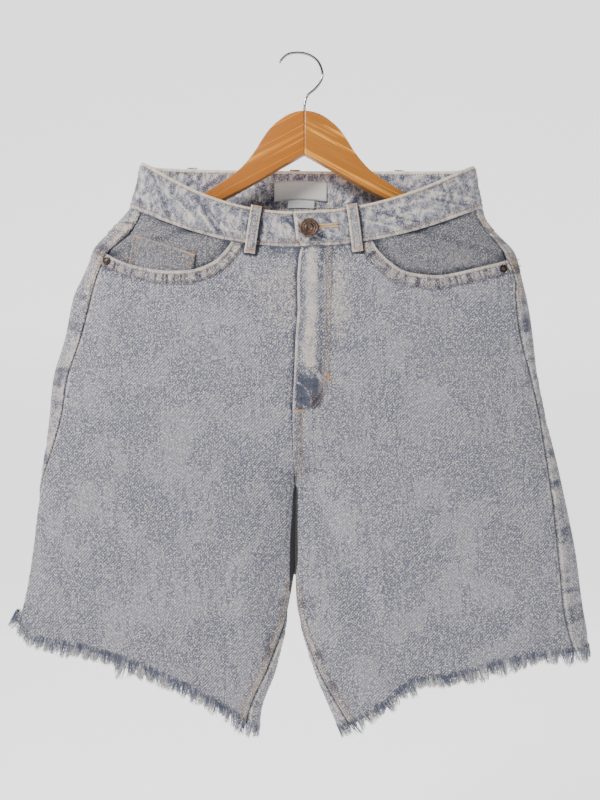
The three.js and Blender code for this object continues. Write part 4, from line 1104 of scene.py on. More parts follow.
def back_band_cloth(material, columns=120):
    """One piece from side to side, with each half walked towards the middle."""
    levels = np.linspace(BAND_TOP_LEVEL, 0.2, 23)
    level = np.broadcast_to(levels[:, None], (23, columns + 1))
    faces = []
    for half in (RIGHT, LEFT):
        start = np.full(levels.shape, 0.5)
        shares, lengths = walked_shares(half, levels, start, np.ones(levels.shape), columns)
        faces.append((surface_frame(half, level, shares), lengths.mean()))
    (right, right_length), (left, left_length) = faces
    points = np.concatenate([right[0], left[0][:, -2::-1]], axis=1)
    normals = np.concatenate([right[1], left[1][:, -2::-1]], axis=1)
    steps = np.linalg.norm(np.diff(points[10], axis=0), axis=-1)
    along = np.concatenate([[0], np.cumsum(steps)])[None, :] + np.zeros((23, 1))
    level = np.broadcast_to(levels[:, None], along.shape)
    offset, wear, dark = band_relief(along, level, 111, 1.6)
    offset = offset * (1 - 0.85 * np.exp(-(((points[..., 0] - 1) / 42) ** 6)))
    return cloth_sheet("waistband_back_cloth", points, normals, offset, wear, dark,
                       along, -level, BAND_WALL - 0.2, material, 0.8)


def loop_cloth(name, face, top_x, bottom_x, material):
    columns, rows = 9, 46
    v = np.linspace(0, 1, rows)[:, None] + np.zeros((1, columns))
    w = np.linspace(-0.5, 0.5, columns)[None, :] + 0 * v
    level = lerp(LOOP_TOP_LEVEL, LOOP_BOTTOM_LEVEL, v)
    x = lerp(top_x, bottom_x, v) + LOOP_WIDTH * w
    half = RIGHT if top_x < CENTRE_X else LEFT
    if abs(top_x - CENTRE_X) < 1:
        return centre_loop(name, level, x, v, w, material)
    share = share_at_x(half, level, x, face)
    points, normals = surface_frame(half, level, share)
    return loop_sheet(name, half, points, normals, level, x, v, w, face, material)


def centre_loop(name, level, x, v, w, material):
    """The loop at the centre back lies on both halves."""
    points = np.zeros((*x.shape, 3))
    normals = np.zeros((*x.shape, 3))
    for half in (RIGHT, LEFT):
        share = share_at_x(half, level, x, "back")
        place, normal = surface_frame(half, level, share)
        own = ((x - CENTRE_X) * half.side >= 0)[..., None]
        points, normals = np.where(own, place, points), np.where(own, normal, normals)
    return loop_sheet(name, LEFT, points, normals, level, x, v, w, "back", material)


def loop_sheet(name, half, points, normals, level, x, v, w, face, material):
    bow = LOOP_BOW * np.sin(math.pi * np.clip(v, 0, 1)) ** 0.8
    lift = fly_lift(half, level, x) if face == "front" else 0
    offset = WALL + 0.35 + bow + lift + 0.5 * (1 - (2 * w) ** 4)
    edge = (0.5 - np.abs(w)) * LOOP_WIDTH
    offset = offset + 0.25 * wobble(level, 121, 9) * bump(edge, 1, 6, 1)
    wear = 0.6 * bump(edge, -1, 1.6, 0.7) + 0.45 * (0.5 + 0.5 * wobble(level, 122, 17))
    dark = 0.5 * bump(edge, 1.6, 3.4, 0.8) * (0.5 + 0.5 * wobble(level, 123, 8))
    away = x if face == "front" else -x
    return cloth_sheet(name + "_cloth", points, normals, offset, wear, dark, away, -level, 1.4,
                       material, 0.35)


# Sizes of the pieces that lie on the panels
COIN_OUTER, COIN_INNER, COIN_LOWER, COIN_LEAN = (-178, -202), (-111, -225), 34, -5
POCKET_CENTRE, POCKET_TOP, POCKET_WIDTH = 106, -262, 138
POCKET_SIDE, POCKET_POINT, POCKET_TAPER = 128, 22, 8
LOOPS = [
    ("belt_loop_front_right", "front", *FRONT_LOOPS["right"]),
    ("belt_loop_front_left", "front", *FRONT_LOOPS["left"]),
    ("belt_loop_back_right", "back", -120, -126),
    ("belt_loop_back_left", "back", 112, 118),
    ("belt_loop_back_centre", "back", -5, -5),
]
pieces = {}
for half in (RIGHT, LEFT):
    pieces["front_" + half.name] = front_cloth(half, LEG_DENIM)
    pieces["back_" + half.name] = back_cloth(half, BACK_DENIM)
    pieces["yoke_" + half.name] = yoke_cloth(half, BACK_DENIM)
    pieces["pocket_facing_" + half.name] = facing_cloth(half, SHADED_FACING_DENIM)
    pieces["back_pocket_" + half.name] = back_pocket_cloth(half, BACK_DENIM)
    pieces["waistband_front_" + half.name] = front_band_cloth(half, BAND_DENIM)
pieces["waistband_back"] = back_band_cloth(LIT_BACK_BAND_DENIM)
pieces["coin_pocket"] = coin_pocket_cloth(SHADED_FACING_DENIM)
for name, face, top_x, bottom_x in LOOPS:
    pieces[name] = loop_cloth(name, face, top_x, bottom_x, BAND_DENIM)
for name, obj in pieces.items():
    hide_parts(name)


# Hanger, hook and fastenings
NECK_X, ARM_THICKNESS, ARM_EDGE, ARM_SWEEP = 5.5, 12.0, 1.4, -2.5
ARM = table(["level", "top", "bottom"], [
    (0, -63.5, -111), (10, -65, -116.6), (20, -69, -122.2), (30, -76, -127.8), (38, -83.5, -133),
    (46, -94.5, -137.5), (53, -106, -141.5), (62, -118, -146.5), (72, -128.5, -152),
    (86, -139, -159.5), (106, -151.5, -170), (150, -177.5, -196), (192, -201.5, -219.5),
    (218, -216.5, -232.5), (226, -222, -233),
])
HOOK_RADIUS = 1.4
HOOK_PATH = [(-22, -10), (-19, -5.5), (-12, 0), (0, 1.4), (12, -1.5), (21, -9), (25.3, -20.5),
             (23.5, -30), (17, -38.5), (9.5, -45), (6.2, -53), (5.5, -62), (5.5, -74), (5.5, -86)]


def ring_mesh(name, rings, material, closed_ends=True):
    """Faces between rings of equal length, with a fan over each end."""
    rings = np.asarray(rings)
    count, around = rings.shape[:2]
    vertices = rings.reshape(-1, 3)
    faces = []
    for r in range(count - 1):
        for c in range(around):
            a, b = r * around + c, r * around + (c + 1) % around
            faces.append((a, b, b + around, a + around))
    if closed_ends:
        faces.append(tuple(range(around))[::-1])
        faces.append(tuple((count - 1) * around + c for c in range(around)))
    obj = new_object(name, vertices * MM, faces)
    obj.data.materials.append(material)
    mend_normals(obj)
    return obj


def mend_normals(obj):
    mesh = bmesh.new()
    mesh.from_mesh(obj.data)
    bmesh.ops.recalc_face_normals(mesh, faces=mesh.faces)
    mesh.to_mesh(obj.data)
    mesh.free()


def wood(name, light, dark_line, pale):
    """Lacquered wood, its grain along the arm through the cloth coordinates."""
    material, tree, shader = new_material(name, light, 0.34)
    shader.inputs["Coat Weight"].default_value = 0.2
    shader.inputs["Coat Roughness"].default_value = 0.25
    along = cloth_coordinates(tree)
    fibre = noise(tree, mapped(tree, along, (14, 900, 1)), 1.0, 3, 0.6, 0.2)
    broad = noise(tree, mapped(tree, along, (4, 85, 1)), 1.0, 2, 0.5, 0.3)
    rings = noise(tree, mapped(tree, along, (3, 210, 1)), 1.0, 2, 0.55, 0.35)
    color = mix_color(tree, gray_ramp(tree, broad, 0.42, 0.62), light, pale)
    color = mix_color(tree, gray_ramp(tree, rings, 0.43, 0.38, 0, 0.85), color, dark_line)
    color = mix_color(tree, gray_ramp(tree, fibre, 0.52, 0.38, 0, 0.6), color, dark_line)
    link(tree, color, shader.inputs["Base Color"])
    link(tree, gray_ramp(tree, fibre, 0.3, 0.7, 0.45, 0.32), shader.inputs["Roughness"])
    return material


def arm(side, material):
    outs = np.concatenate([np.arange(0.02, 220, 2.0), np.linspace(220.5, 226, 12)])
    rings, along, up = [], [], []
    corners = 32
    for out in outs:
        top, bottom = column_at(ARM, "top", out), column_at(ARM, "bottom", out)
        end = 1 - 0.62 * np.clip((out - 218) / 8, 0, 1) ** 3
        half_width = ARM_THICKNESS / 2 * (1 - 0.5 * np.clip((out - 220) / 6, 0, 1) ** 2)
        half_height = (top - bottom) / 2 * end
        middle = (top + bottom) / 2
        edge = min(ARM_EDGE, half_width * 0.8, half_height * 0.8)
        sweep = ARM_SWEEP * float(smoothstep(out, 60, 226))
        ring = []
        for c in range(corners):
            quarter, step = divmod(c, corners // 4)
            angle = math.pi / 2 * (quarter + step / (corners // 4 - 1))
            cy = (1 if quarter in (0, 3) else -1) * (half_width - edge)
            cz = (1 if quarter < 2 else -1) * (half_height - edge)
            y = sweep + cy + edge * math.cos(angle)
            z = middle + cz + edge * math.sin(angle)
            ring.append((NECK_X + side * out, y, z))
            along.append(out * 0.88 - z * 0.47)
            up.append(out * 0.47 + z * 0.88 + 0.6 * y + side * 40)
        rings.append(ring)
    name = "right" if side < 0 else "left"
    obj = ring_mesh("hanger_arm_%s_wood" % name, rings, material)
    add_uv(obj, np.array(along) * MM, np.array(up) * MM)
    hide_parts("hanger_arm_" + name)
    return obj


def tube_mesh(name, path, radii, around, material):
    """A round tube along a curve that lies in the plane of the garment."""
    path = np.asarray(path, dtype=float)
    tangent = unit(np.gradient(path, axis=0))
    side = np.array([0.0, 1.0, 0.0])
    rings = []
    for place, direction, radius in zip(path, tangent, radii):
        other = np.cross(direction, side)
        angles = np.linspace(0, 2 * math.pi, around, endpoint=False)
        rings.append(place + radius * (np.cos(angles)[:, None] * side + np.sin(angles)[:, None] * other))
    return ring_mesh(name, rings, material)


def hook(material):
    path = np.array([(x, 0, z) for x, z in smooth_line(HOOK_PATH, 150)])
    radii = np.full(len(path), HOOK_RADIUS)
    radii[:3] = [0.5, 1.05, 1.3]
    obj = tube_mesh("hook_wire", path, radii, 20, material)
    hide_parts("hook")
    return obj


def lathed(name, profile, x, z, clearance, material, segments=64):
    """A turned piece standing on the front's cloth."""
    half, level, share = locate("front", np.array([x]), np.array([z]))
    point, normal = surface_frame(half, level, share)
    normal = normal[0]
    base = point[0] + normal * (clearance + fly_lift(half, level, np.array([x]))[0])
    side = unit(np.cross(normal, [0, 0, 1]))
    up = np.cross(side, normal)
    angles = np.linspace(0, 2 * math.pi, segments, endpoint=False)
    rings = [base + r * (np.cos(angles)[:, None] * side + np.sin(angles)[:, None] * up) + normal * h
             for r, h in profile]
    return ring_mesh(name, rings, material)


def metal(name, worn, dull, roughness, scale):
    material, tree, shader = new_material(name, worn, roughness, 0.9)
    coordinates = tree.nodes.new("ShaderNodeTexCoord").outputs["Object"]
    cloud = noise(tree, coordinates, scale, 4, 0.6)
    link(tree, mix_color(tree, gray_ramp(tree, cloud, 0.38, 0.62), dull, worn),
         shader.inputs["Base Color"])
    return material


# The right arm gets a darker copy of the wood than the left: painted shade on it
SHADED_WOOD_RIGHT = wood("orange_brown_wood_darker", (0.52, 0.19, 0.018), (0.33, 0.105, 0.01), (0.6, 0.235, 0.026))
WOOD_LEFT = wood("orange_brown_wood", (0.7, 0.29, 0.035), (0.3, 0.1, 0.011), (0.8, 0.36, 0.05))
STEEL, _, _ = new_material("plated_steel", (0.30, 0.29, 0.29), 0.2, 1.0)
COPPER = metal("antique_copper", (0.15, 0.095, 0.068), (0.05, 0.034, 0.03), 0.55, 420)
BLACKENED = metal("blackened_metal", (0.05, 0.04, 0.04), (0.02, 0.018, 0.02), 0.4, 300)
LABEL = plain_cloth("label_tape", (0.66, 0.64, 0.62), 0.7)
LABEL_EDGE = plain_cloth("label_tape_pale", (0.60, 0.61, 0.63), 0.6)

arm(-1, SHADED_WOOD_RIGHT)
arm(1, WOOD_LEFT)
hook(STEEL)

R = 10.0
button = lathed("button_metal", [
    (0.1, 0.2), (4.0, 0.2), (4.0, 1.8), (9.2, 1.8), (9.8, 2.1), (R, 2.8), (9.9, 3.7), (9.5, 4.3),
    (8.9, 4.55), (8.2, 4.4), (7.75, 3.95), (7.3, 3.85), (6.9, 3.95), (6.6, 4.2), (6.2, 4.25), (5.8, 4.0),
    (5.3, 3.75), (4.6, 3.7), (4.2, 3.9), (3.8, 4.2), (3.3, 4.3), (2.8, 4.1), (2.3, 3.85), (1.6, 3.8),
    (1.0, 3.95), (0.1, 4.0)], 10.5, -198, 0.35, COPPER)
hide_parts("button")
for name, x, z in (("rivet_right", -207, -231), ("rivet_left", 219.5, -239)):
    cap = lathed(name + "_cap", [(0.1, 0.1), (4.5, 0.1), (4.7, 0.5), (4.6, 1.0), (4.1, 1.5), (3.4, 1.7),
                                 (2.8, 1.55), (2.3, 1.5), (1.9, 1.7)], x, z, 0.15, BLACKENED)
    point = lathed(name + "_point", [(1.95, 1.4), (1.9, 1.9), (1.5, 2.25), (0.9, 2.4), (0.1, 2.4)], x, z,
                   0.15, COPPER)
    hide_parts(name)
    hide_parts(name)

for name, x1, x2, top, bottom, stand, material in (
    ("label", -28.5, 31, -29, -11, 0, LABEL), ("label_strip", -13, 17, -10.6, -3, 0, LABEL_EDGE),
):
    columns = 49
    x = np.linspace(x1, x2, columns)[None, :] + np.zeros((9, 1))
    level = np.linspace(top, bottom, 9)[:, None] + 2.0 * ((x - 1) / 30) ** 2
    sheets = []
    for half in (RIGHT, LEFT):
        share = share_at_x(half, level, x, "back")
        sheets.append(surface_frame(half, level, share))
    own = (x < CENTRE_X)[..., None]
    points = np.where(own, sheets[0][0], sheets[1][0])
    normals = np.where(own, sheets[0][1], sheets[1][1])
    fold = 0.35 * bell(x - x1 - 2.5, 1.5) + 0.35 * bell(x2 - 2.5 - x, 1.5)
    tape = cloth_sheet(name + "_tape", points, normals, -BAND_WALL - 0.3 - stand + 0 * x - fold * 0.3,
                       0 * x, 0 * x, x, -level, 0.5, material)
    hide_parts(name)
    pieces[name] = tape


# Stitching
TAN = plain_cloth("tan_thread", (0.26, 0.135, 0.04), 0.7)
ORANGE = plain_cloth("orange_thread", (0.56, 0.235, 0.055), 0.7)
WHEAT = plain_cloth("wheat_thread", (0.56, 0.37, 0.18), 0.7)
STITCH_PITCH, STITCH_LENGTH, STITCH_RADIUS = 3.3, 2.4, 0.5


def rod_rings(starts, ends, normals, radius, sink):
    """Short round rods, each from a start to an end, with their tips sunk into the cloth."""
    around = 6
    count = len(starts)
    along = ends - starts
    direction = unit(along)
    side = unit(np.cross(direction, normals))
    up = np.cross(side, direction)
    angles = np.linspace(0, 2 * math.pi, around, endpoint=False)
    rings = []
    for share, thick, height in ((0.0, 0.35, -sink), (0.16, 0.9, 0.0), (0.5, 1.0, 0.12),
                                 (0.84, 0.9, 0.0), (1.0, 0.35, -sink)):
        centre = starts + along * share + up * height
        circle = (np.cos(angles)[None, :, None] * side[:, None, :]
                  + np.sin(angles)[None, :, None] * up[:, None, :])
        rings.append(centre[:, None, :] + radius * thick * circle)
    vertices = np.stack(rings, axis=1).reshape(count, -1, 3)
    return vertices


def rod_faces(count, rings, around):
    base = []
    for r in range(rings - 1):
        for c in range(around):
            a, b = r * around + c, r * around + (c + 1) % around
            base.append((a, b, b + around, a + around))
    base = np.array(base)
    step = rings * around
    return (base[None, :, :] + np.arange(count)[:, None, None] * step).reshape(-1, 4).tolist()


class Threads:
    """Collects stitches of one colour on one piece and makes them one mesh."""

    def __init__(self, name, node, material):
        self.name, self.node, self.material = name, node, material
        self.starts, self.ends, self.normals = [], [], []

    def row(self, points, normals, pitch=STITCH_PITCH, length=STITCH_LENGTH):
        """Stitches end to end along a path."""
        walked = walked_length(points)
        begins = np.arange(0.4, walked[-1] - length, pitch)
        self.starts.append(places_along(begins, walked, points))
        self.ends.append(places_along(begins + length, walked, points))
        self.normals.append(places_along(begins + length / 2, walked, normals))

    def tack(self, centre, along, across, normal, length, width, pitch=0.62):
        """A bar tack: close stitches laid side by side across its length."""
        count = max(3, int(length / pitch))
        for k in range(count):
            place = centre + along * (length * ((k + 0.5) / count - 0.5)) + normal * 0.25
            lean = along * (0.3 if k % 2 else -0.3)
            self.starts.append((place - across * width / 2 - lean)[None])
            self.ends.append((place + across * width / 2 + lean)[None])
            self.normals.append(normal[None])

    def make(self, radius=STITCH_RADIUS):
        starts, ends, normals = (np.concatenate(group) for group in (self.starts, self.ends, self.normals))
        vertices = rod_rings(starts, ends, normals, radius, 0.35)
        obj = new_object(self.name, vertices.reshape(-1, 3) * MM, rod_faces(len(starts), 5, 6))
        obj.data.materials.append(self.material)
        mend_normals(obj)
        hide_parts(self.node)
        return obj


def shifted_line(line, distance, count=220):
    """The curve a distance to the left of a front-view curve, seen along it."""
    line = np.array(smooth_line(line, count)) if len(line) < 30 else np.array(line)
    steps = unit(np.gradient(line, axis=0))
    return line + distance * np.stack([-steps[:, 1], steps[:, 0]], axis=1)


def front_path(half, line, extra=0.25):
    x, z = line[:, 0], line[:, 1]
    _, level, share = locate("front", x, z)
    points, normals = surface_frame(half, level, share)
    offset = front_relief(half, x, z, level)[0] + fly_lift(half, level, x) + extra
    return points + normals * offset[:, None], normals


def back_path(half, line, extra=0.25):
    x, z = line[:, 0], line[:, 1]
    _, level, share = locate("back", x, z)
    points, normals = surface_frame(half, level, share)
    return points + normals * extra, normals


def band_path(half, face, level, count=400):
    levels = np.array([level])
    if face == "front":
        start = -FLY_TONGUE / (2 * np.abs(column_at(OUTLINE, half.name + "X", levels)))
        start, end = (start if half.side < 0 else np.zeros(1)), np.full(1, 0.5)
    else:
        start, end = np.full(1, 0.5), np.ones(1)
    shares, lengths = walked_shares(half, levels, start, end, count)
    points, normals = surface_frame(half, levels[:, None], shares)
    points, normals = points[0], normals[0]
    along = np.linspace(0, 1, count + 1) * lengths[0]
    offset = np.full(count + 1, 0.3)
    if face == "front":
        tuck = 1.1 if half.side < 0 else -2.2
        offset = offset + band_relief(along, level + 0 * along, 101 + half.side, tuck)[0]
        offset = offset + fly_lift(half, level, points[:, 0])
    return points + normals * offset[:, None], normals, along


def clipped(points, normals, keep):
    return points[keep], normals[keep]


for half in (RIGHT, LEFT):
    front = Threads("stitches_front_%s" % half.name, "front_" + half.name, TAN)
    opening = OPENING_LINE[half.name]
    for distance in (4.0, 11.2):
        line = shifted_line(smooth_line(OPENING[half.name], 220), distance * -half.side)
        points, normals = front_path(half, line)
        front.row(*clipped(points, normals, np.array(line)[:, 1] < -212))
    for distance in (2.6, 7.4):
        line = shifted_line(seam_points(half, inseam_share, CROTCH_LEVEL + 105, HEM_LEVEL - 1, 120), half.side * distance)
        front.row(*front_path(half, line, 0.1))
    if half.side > 0:
        for distance in (0, -5.2):
            front.row(*front_path(half, shifted_line(FLY_STITCH, distance)))
        for distance in (2.4, 7.4):
            line = np.stack([np.full(80, CENTRE_X + distance), np.linspace(-396, -470, 80)], axis=1)
            front.row(*front_path(half, line))
        line = np.stack([np.full(120, CENTRE_X + 3.0), np.linspace(-218, -388, 120)], axis=1)
    front.make()

    back = Threads("stitches_back_%s" % half.name, "back_" + half.name, TAN)
    for distance in (2.6, 8.0):
        line = shifted_line(seam_points(half, side_seam_share, 4, 96, 80), half.side * distance)
        points, normals = front_path(half, line, 0.0)
        back.row(points, normals)
    w = np.linspace(0.02, 0.995, 160)
    for drop in (2.6, 8.0):
        level = lerp(YOKE_SIDE, YOKE_CENTRE, w ** 1.3) + drop
        shares = share_grid(half, "back", np.broadcast_to(level[None, :], (1, 160)), 159)[0]
        points, normals = surface_frame(half, level, shares)
        back.row(points + normals * 0.6, normals)
    if half.side > 0:
        for distance in (2.6, 8.0):
            line = np.stack([np.full(160, CENTRE_X + distance), np.linspace(-225, -462, 160)], axis=1)
            back.row(*back_path(half, line, 0.6))
    back.make()

    pocket = Threads("stitches_back_pocket_%s" % half.name, "back_pocket_" + half.name, TAN)
    middle = CENTRE_X + half.side * POCKET_CENTRE
    for inset in (2.6, 8.0):
        top, low = POCKET_WIDTH / 2 - inset, POCKET_WIDTH / 2 - POCKET_TAPER - inset
        corners = [(-top, 0), (-low, POCKET_SIDE - inset * 0.4), (0, POCKET_SIDE + POCKET_POINT - inset * 1.05),
                   (low, POCKET_SIDE - inset * 0.4), (top, 0)]
        for (xa, za), (xb, zb) in zip(corners[:-1], corners[1:]):
            line = np.stack([middle + np.linspace(xa, xb, 60), POCKET_TOP - np.linspace(za, zb, 60)], axis=1)
            pocket.row(*back_path(half, line, LAP + 0.55))
    for drop in (2.6, 12.5):
        line = np.stack([middle + np.linspace(-66, 66, 90), np.full(90, POCKET_TOP - drop)], axis=1)
        pocket.row(*back_path(half, line, LAP + 0.8))
    pocket.make()

    for face, node in (("front", "waistband_front_" + half.name), ("back", "waistband_back")):
        band = Threads("stitches_band_%s_%s" % (face, half.name), node, TAN)
        for level in (BAND_TOP_LEVEL + 3.4, -3.4):
            points, normals, _ = band_path(half, face, level)
            band.row(points, normals)
        if face == "back":
            for level in (BAND_TOP_LEVEL + 3.4, -3.4):
                points, normals, _ = band_path(half, face, level)
                band.row(points - normals * (BAND_WALL + 0.35), -normals)
        if face == "front" and half.side > 0:
            x = np.full(40, CENTRE_X + 4.2)
            level = np.linspace(BAND_TOP_LEVEL + 3.4, -3.4, 40)
            share = share_at_x(half, level, x, "front")
            points, normals = surface_frame(half, level, share)
            band.row(points + normals * (LAP + 0.35), normals)
        band.make()

coin = Threads("stitches_coin_pocket", "coin_pocket", TAN)
outer, inner = np.array(COIN_OUTER, dtype=float), np.array(COIN_INNER, dtype=float)
run = (inner - outer) / np.linalg.norm(inner - outer)
down = np.array([COIN_LEAN, -COIN_LOWER]) / math.hypot(COIN_LEAN, COIN_LOWER)
span = np.linalg.norm(inner - outer)
for drop in (2.2, 8.2):
    ends = outer + run * 1.5 + down * drop, inner - run * 1.5 + down * drop
    line = lerp(ends[0][None, :], ends[1][None, :], np.linspace(0, 1, 60)[:, None])
    coin.row(*front_path(RIGHT, line, 0.0))
for inset in (1.8, 5.6):
    for corner, sign in ((outer, 1), (inner, -1)):
        first = corner + run * sign * inset + down * 1.5
        reach = 30 if sign > 0 else 18
        line = lerp(first[None, :], (first + down * reach)[None, :], np.linspace(0, 1, 40)[:, None])
        coin.row(*front_path(RIGHT, line, 0.0))
coin.make()
coin_tacks = Threads("tacks_coin_pocket", "coin_pocket", ORANGE)
for corner, sign in ((outer, 1), (inner, -1)):
    centre = corner + run * sign * 3.6 + down * 2.0
    points, normals = front_path(RIGHT, np.array([centre, centre + run]), 0.25)
    along = points[1] - points[0]
    along /= np.linalg.norm(along)
    coin_tacks.tack(points[0], along, np.cross(normals[0], along), normals[0], 6, 2)
coin_tacks.make(0.32)

for name, face, top_x, bottom_x in LOOPS:
    loop = Threads("stitches_" + name, name, TAN)
    tacks = Threads("tacks_" + name, name, ORANGE)
    half = RIGHT if top_x < CENTRE_X else LEFT
    v = np.linspace(0.04, 0.96, 60)
    for side in (-1, 1):
        level = lerp(LOOP_TOP_LEVEL, LOOP_BOTTOM_LEVEL, v)
        x = lerp(top_x, bottom_x, v) + side * LOOP_WIDTH * 0.27
        own = half if abs(top_x - CENTRE_X) > 1 else (LEFT if side > 0 else RIGHT)
        share = share_at_x(own, level, x, face)
        points, normals = surface_frame(own, level, share)
        lift = fly_lift(own, level, x) if face == "front" else 0
        bow = LOOP_BOW * np.sin(math.pi * v) ** 0.8
        loop.row(points + normals * (WALL + 0.35 + bow + lift + 0.75)[:, None], normals)
    for v_at in (0.035, 0.95):
        level = np.array([lerp(LOOP_TOP_LEVEL, LOOP_BOTTOM_LEVEL, v_at)])
        x = np.array([lerp(top_x, bottom_x, v_at)])
        own = half if abs(top_x - CENTRE_X) > 1 else LEFT
        share = share_at_x(own, level, x, face)
        points, normals = surface_frame(own, level, share)
        across = np.cross(normals[0], [0, 0, 1])
        across /= np.linalg.norm(across)
        bow = LOOP_BOW * math.sin(math.pi * v_at) ** 0.8
        lift = fly_lift(own, level, x)[0] if face == "front" else 0
        centre = points[0] + normals[0] * (WALL + 0.9 + bow + lift)
        tacks.tack(centre, across, np.cross(normals[0], across), normals[0], 8.5, 2.0)
    loop.make(0.34)
    tacks.make(0.32)

fly_tacks = Threads("tacks_fly", "front_left", ORANGE)
points, normals = front_path(LEFT, np.array([(2.0, -391.4), (3.0, -391.4), (31.0, -356.0), (31.0, -357.0)]), 0.5)
for first, length in ((0, 14), (2, 9)):
    along = points[first + 1] - points[first]
    along /= np.linalg.norm(along)
    normal = normals[first]
    fly_tacks.tack(points[first], along, np.cross(normal, along), normal, length, 2.2)
fly_tacks.make(0.34)

buttonhole = Threads("buttonhole", "waistband_front_left", WHEAT)
hole_x = np.linspace(21.5, 41, 34)
for side in (-1, 1):
    level = np.full(34, -20.8) + side * 1.15
    share = share_at_x(LEFT, level, hole_x, "front")
    points, normals = surface_frame(LEFT, level, share)
    points = points + normals * (fly_lift(LEFT, level, hole_x) + 0.6)[:, None]
    for point, normal in zip(points, normals):
        up = np.array([0, 0, 1.0])
        buttonhole.starts.append((point - up * 1.0)[None])
        buttonhole.ends.append((point + up * 1.0)[None])
        buttonhole.normals.append(normal[None])
buttonhole.make(0.36)


# Frayed hems: loose warp ends in tufts, with a few weft yarns still hanging in them
def loose_yarn(name):
    material, tree, shader = new_material(name, (0.6, 0.58, 0.56), 0.95)
    shader.inputs["Sheen Weight"].default_value = 0.3
    tone = attribute(tree, "tone")
    link(tree, ramp(tree, tone, [(0.0, (0.05, 0.06, 0.11)), (0.3, (0.22, 0.23, 0.28)),
                                 (0.6, (0.50, 0.48, 0.46)), (1.0, (0.70, 0.64, 0.56))]),
         shader.inputs["Base Color"])
    return material


YARN = loose_yarn("loose_yarn")
THREAD_RADIUS = 0.42


def thread_mesh(name, paths, radii, tones, material):
    """Thin three-sided yarns, one for each path of equal point count."""
    paths = np.asarray(paths)
    count, points = paths.shape[:2]
    direction = unit(np.gradient(paths, axis=1))
    reference = np.where(np.abs(direction[..., 1:2]) > 0.85, np.array([1.0, 0, 0]), np.array([0, 1.0, 0]))
    side = unit(np.cross(direction, reference))
    other = np.cross(direction, side)
    angles = np.linspace(0, 2 * math.pi, 3, endpoint=False)
    rings = (paths[:, :, None, :] + radii[:, :, None, None]
             * (np.cos(angles)[None, None, :, None] * side[:, :, None, :]
                + np.sin(angles)[None, None, :, None] * other[:, :, None, :]))
    obj = new_object(name, rings.reshape(-1, 3) * MM, rod_faces(count, points, 3))
    add_attribute(obj, "tone", np.repeat(tones, 3, axis=-1).reshape(-1))
    obj.data.materials.append(material)
    return obj


def hem_frames(half, face, w):
    """Points, outward and downward directions along the hem."""
    columns = len(w) - 1
    shares = share_grid(half, face, np.full((1, columns + 1), HEM_LEVEL), columns)[0]
    points, normals = surface_frame(half, HEM_LEVEL, shares)
    above = surface_point(half, HEM_LEVEL - 6, shares)
    return points, normals, unit(points - above)


def fringe_threads(half, face, seed):
    draw = np.random.default_rng(seed)
    points, normals, down = hem_frames(half, face, np.linspace(0, 1, 241))
    steps = walked_length(points)
    length = steps[-1]
    count = int(length / 0.4)
    at = np.sort(draw.uniform(0.3, length - 0.3, count))
    root, out, fall = (places_along(at, steps, field) for field in (points, normals, down))
    along = np.cross(out, fall)

    # Tufts: the ends lean towards the nearest tuft, and some tufts hang lower
    tufts = np.cumsum(draw.uniform(2.5, 21, int(length / 7)))
    tufts = tufts[tufts < length]
    nearest = np.argmin(np.abs(at[:, None] - tufts[None, :]), axis=1)
    low = draw.uniform(0.25, 1.0, len(tufts))[nearest]
    pull = (tufts[nearest] - at)
    slow = 0.5 + 0.5 * wobble(at, seed, 60)
    reach = (6.5 + 11 * low * (0.5 + 0.5 * slow)) * draw.uniform(0.45, 1.0, count) ** 0.45
    for place, width, more in FRINGE_TABS.get((half.name, face), []):
        reach = reach + more * bell(root[:, 0] - place, width)
    toward = np.sign(np.einsum("ij,ij->i", along, np.gradient(root, axis=0)))[:, None] * along
    lean = (np.clip(pull, -6, 6) * draw.uniform(0.2, 0.8, count) + draw.normal(0, 1.3, count))[:, None] * toward
    swing = draw.normal(0, 0.5, count)[:, None] * out
    curl = draw.normal(0, 0.7, (count, 1)) * toward + draw.normal(0, 0.35, (count, 1)) * out
    paths = []
    rise = draw.uniform(0.5, 6.5, count)
    for u in (0.0, 0.25, 0.5, 0.75, 1.0):
        drop = fall * (reach * u - rise * (1 - u))[:, None]
        stand = out * (0.45 * (1 - u) - 0.5 * u)
        place = root + stand + drop + lean * u ** 1.4 + swing * u + curl * math.sin(2.6 * math.pi * u) * u
        paths.append(place)
    paths = np.stack(paths, axis=1)
    radii = THREAD_RADIUS * np.array([1.1, 1.0, 0.95, 0.8, 0.35])[None, :] * draw.uniform(0.75, 1.15, (count, 1))
    pale = np.clip(0.27 + 0.22 * draw.standard_normal((count, 1)) + 0.2 * wobble(at, seed + 1, 26)[:, None], 0, 1)
    tones = np.clip(pale + np.array([-0.16, -0.16, 0.0, 0.16, 0.34])[None, :], 0, 1)
    return thread_mesh("fringe_%s_%s_yarns" % (face, half.name), paths, radii, tones, YARN)


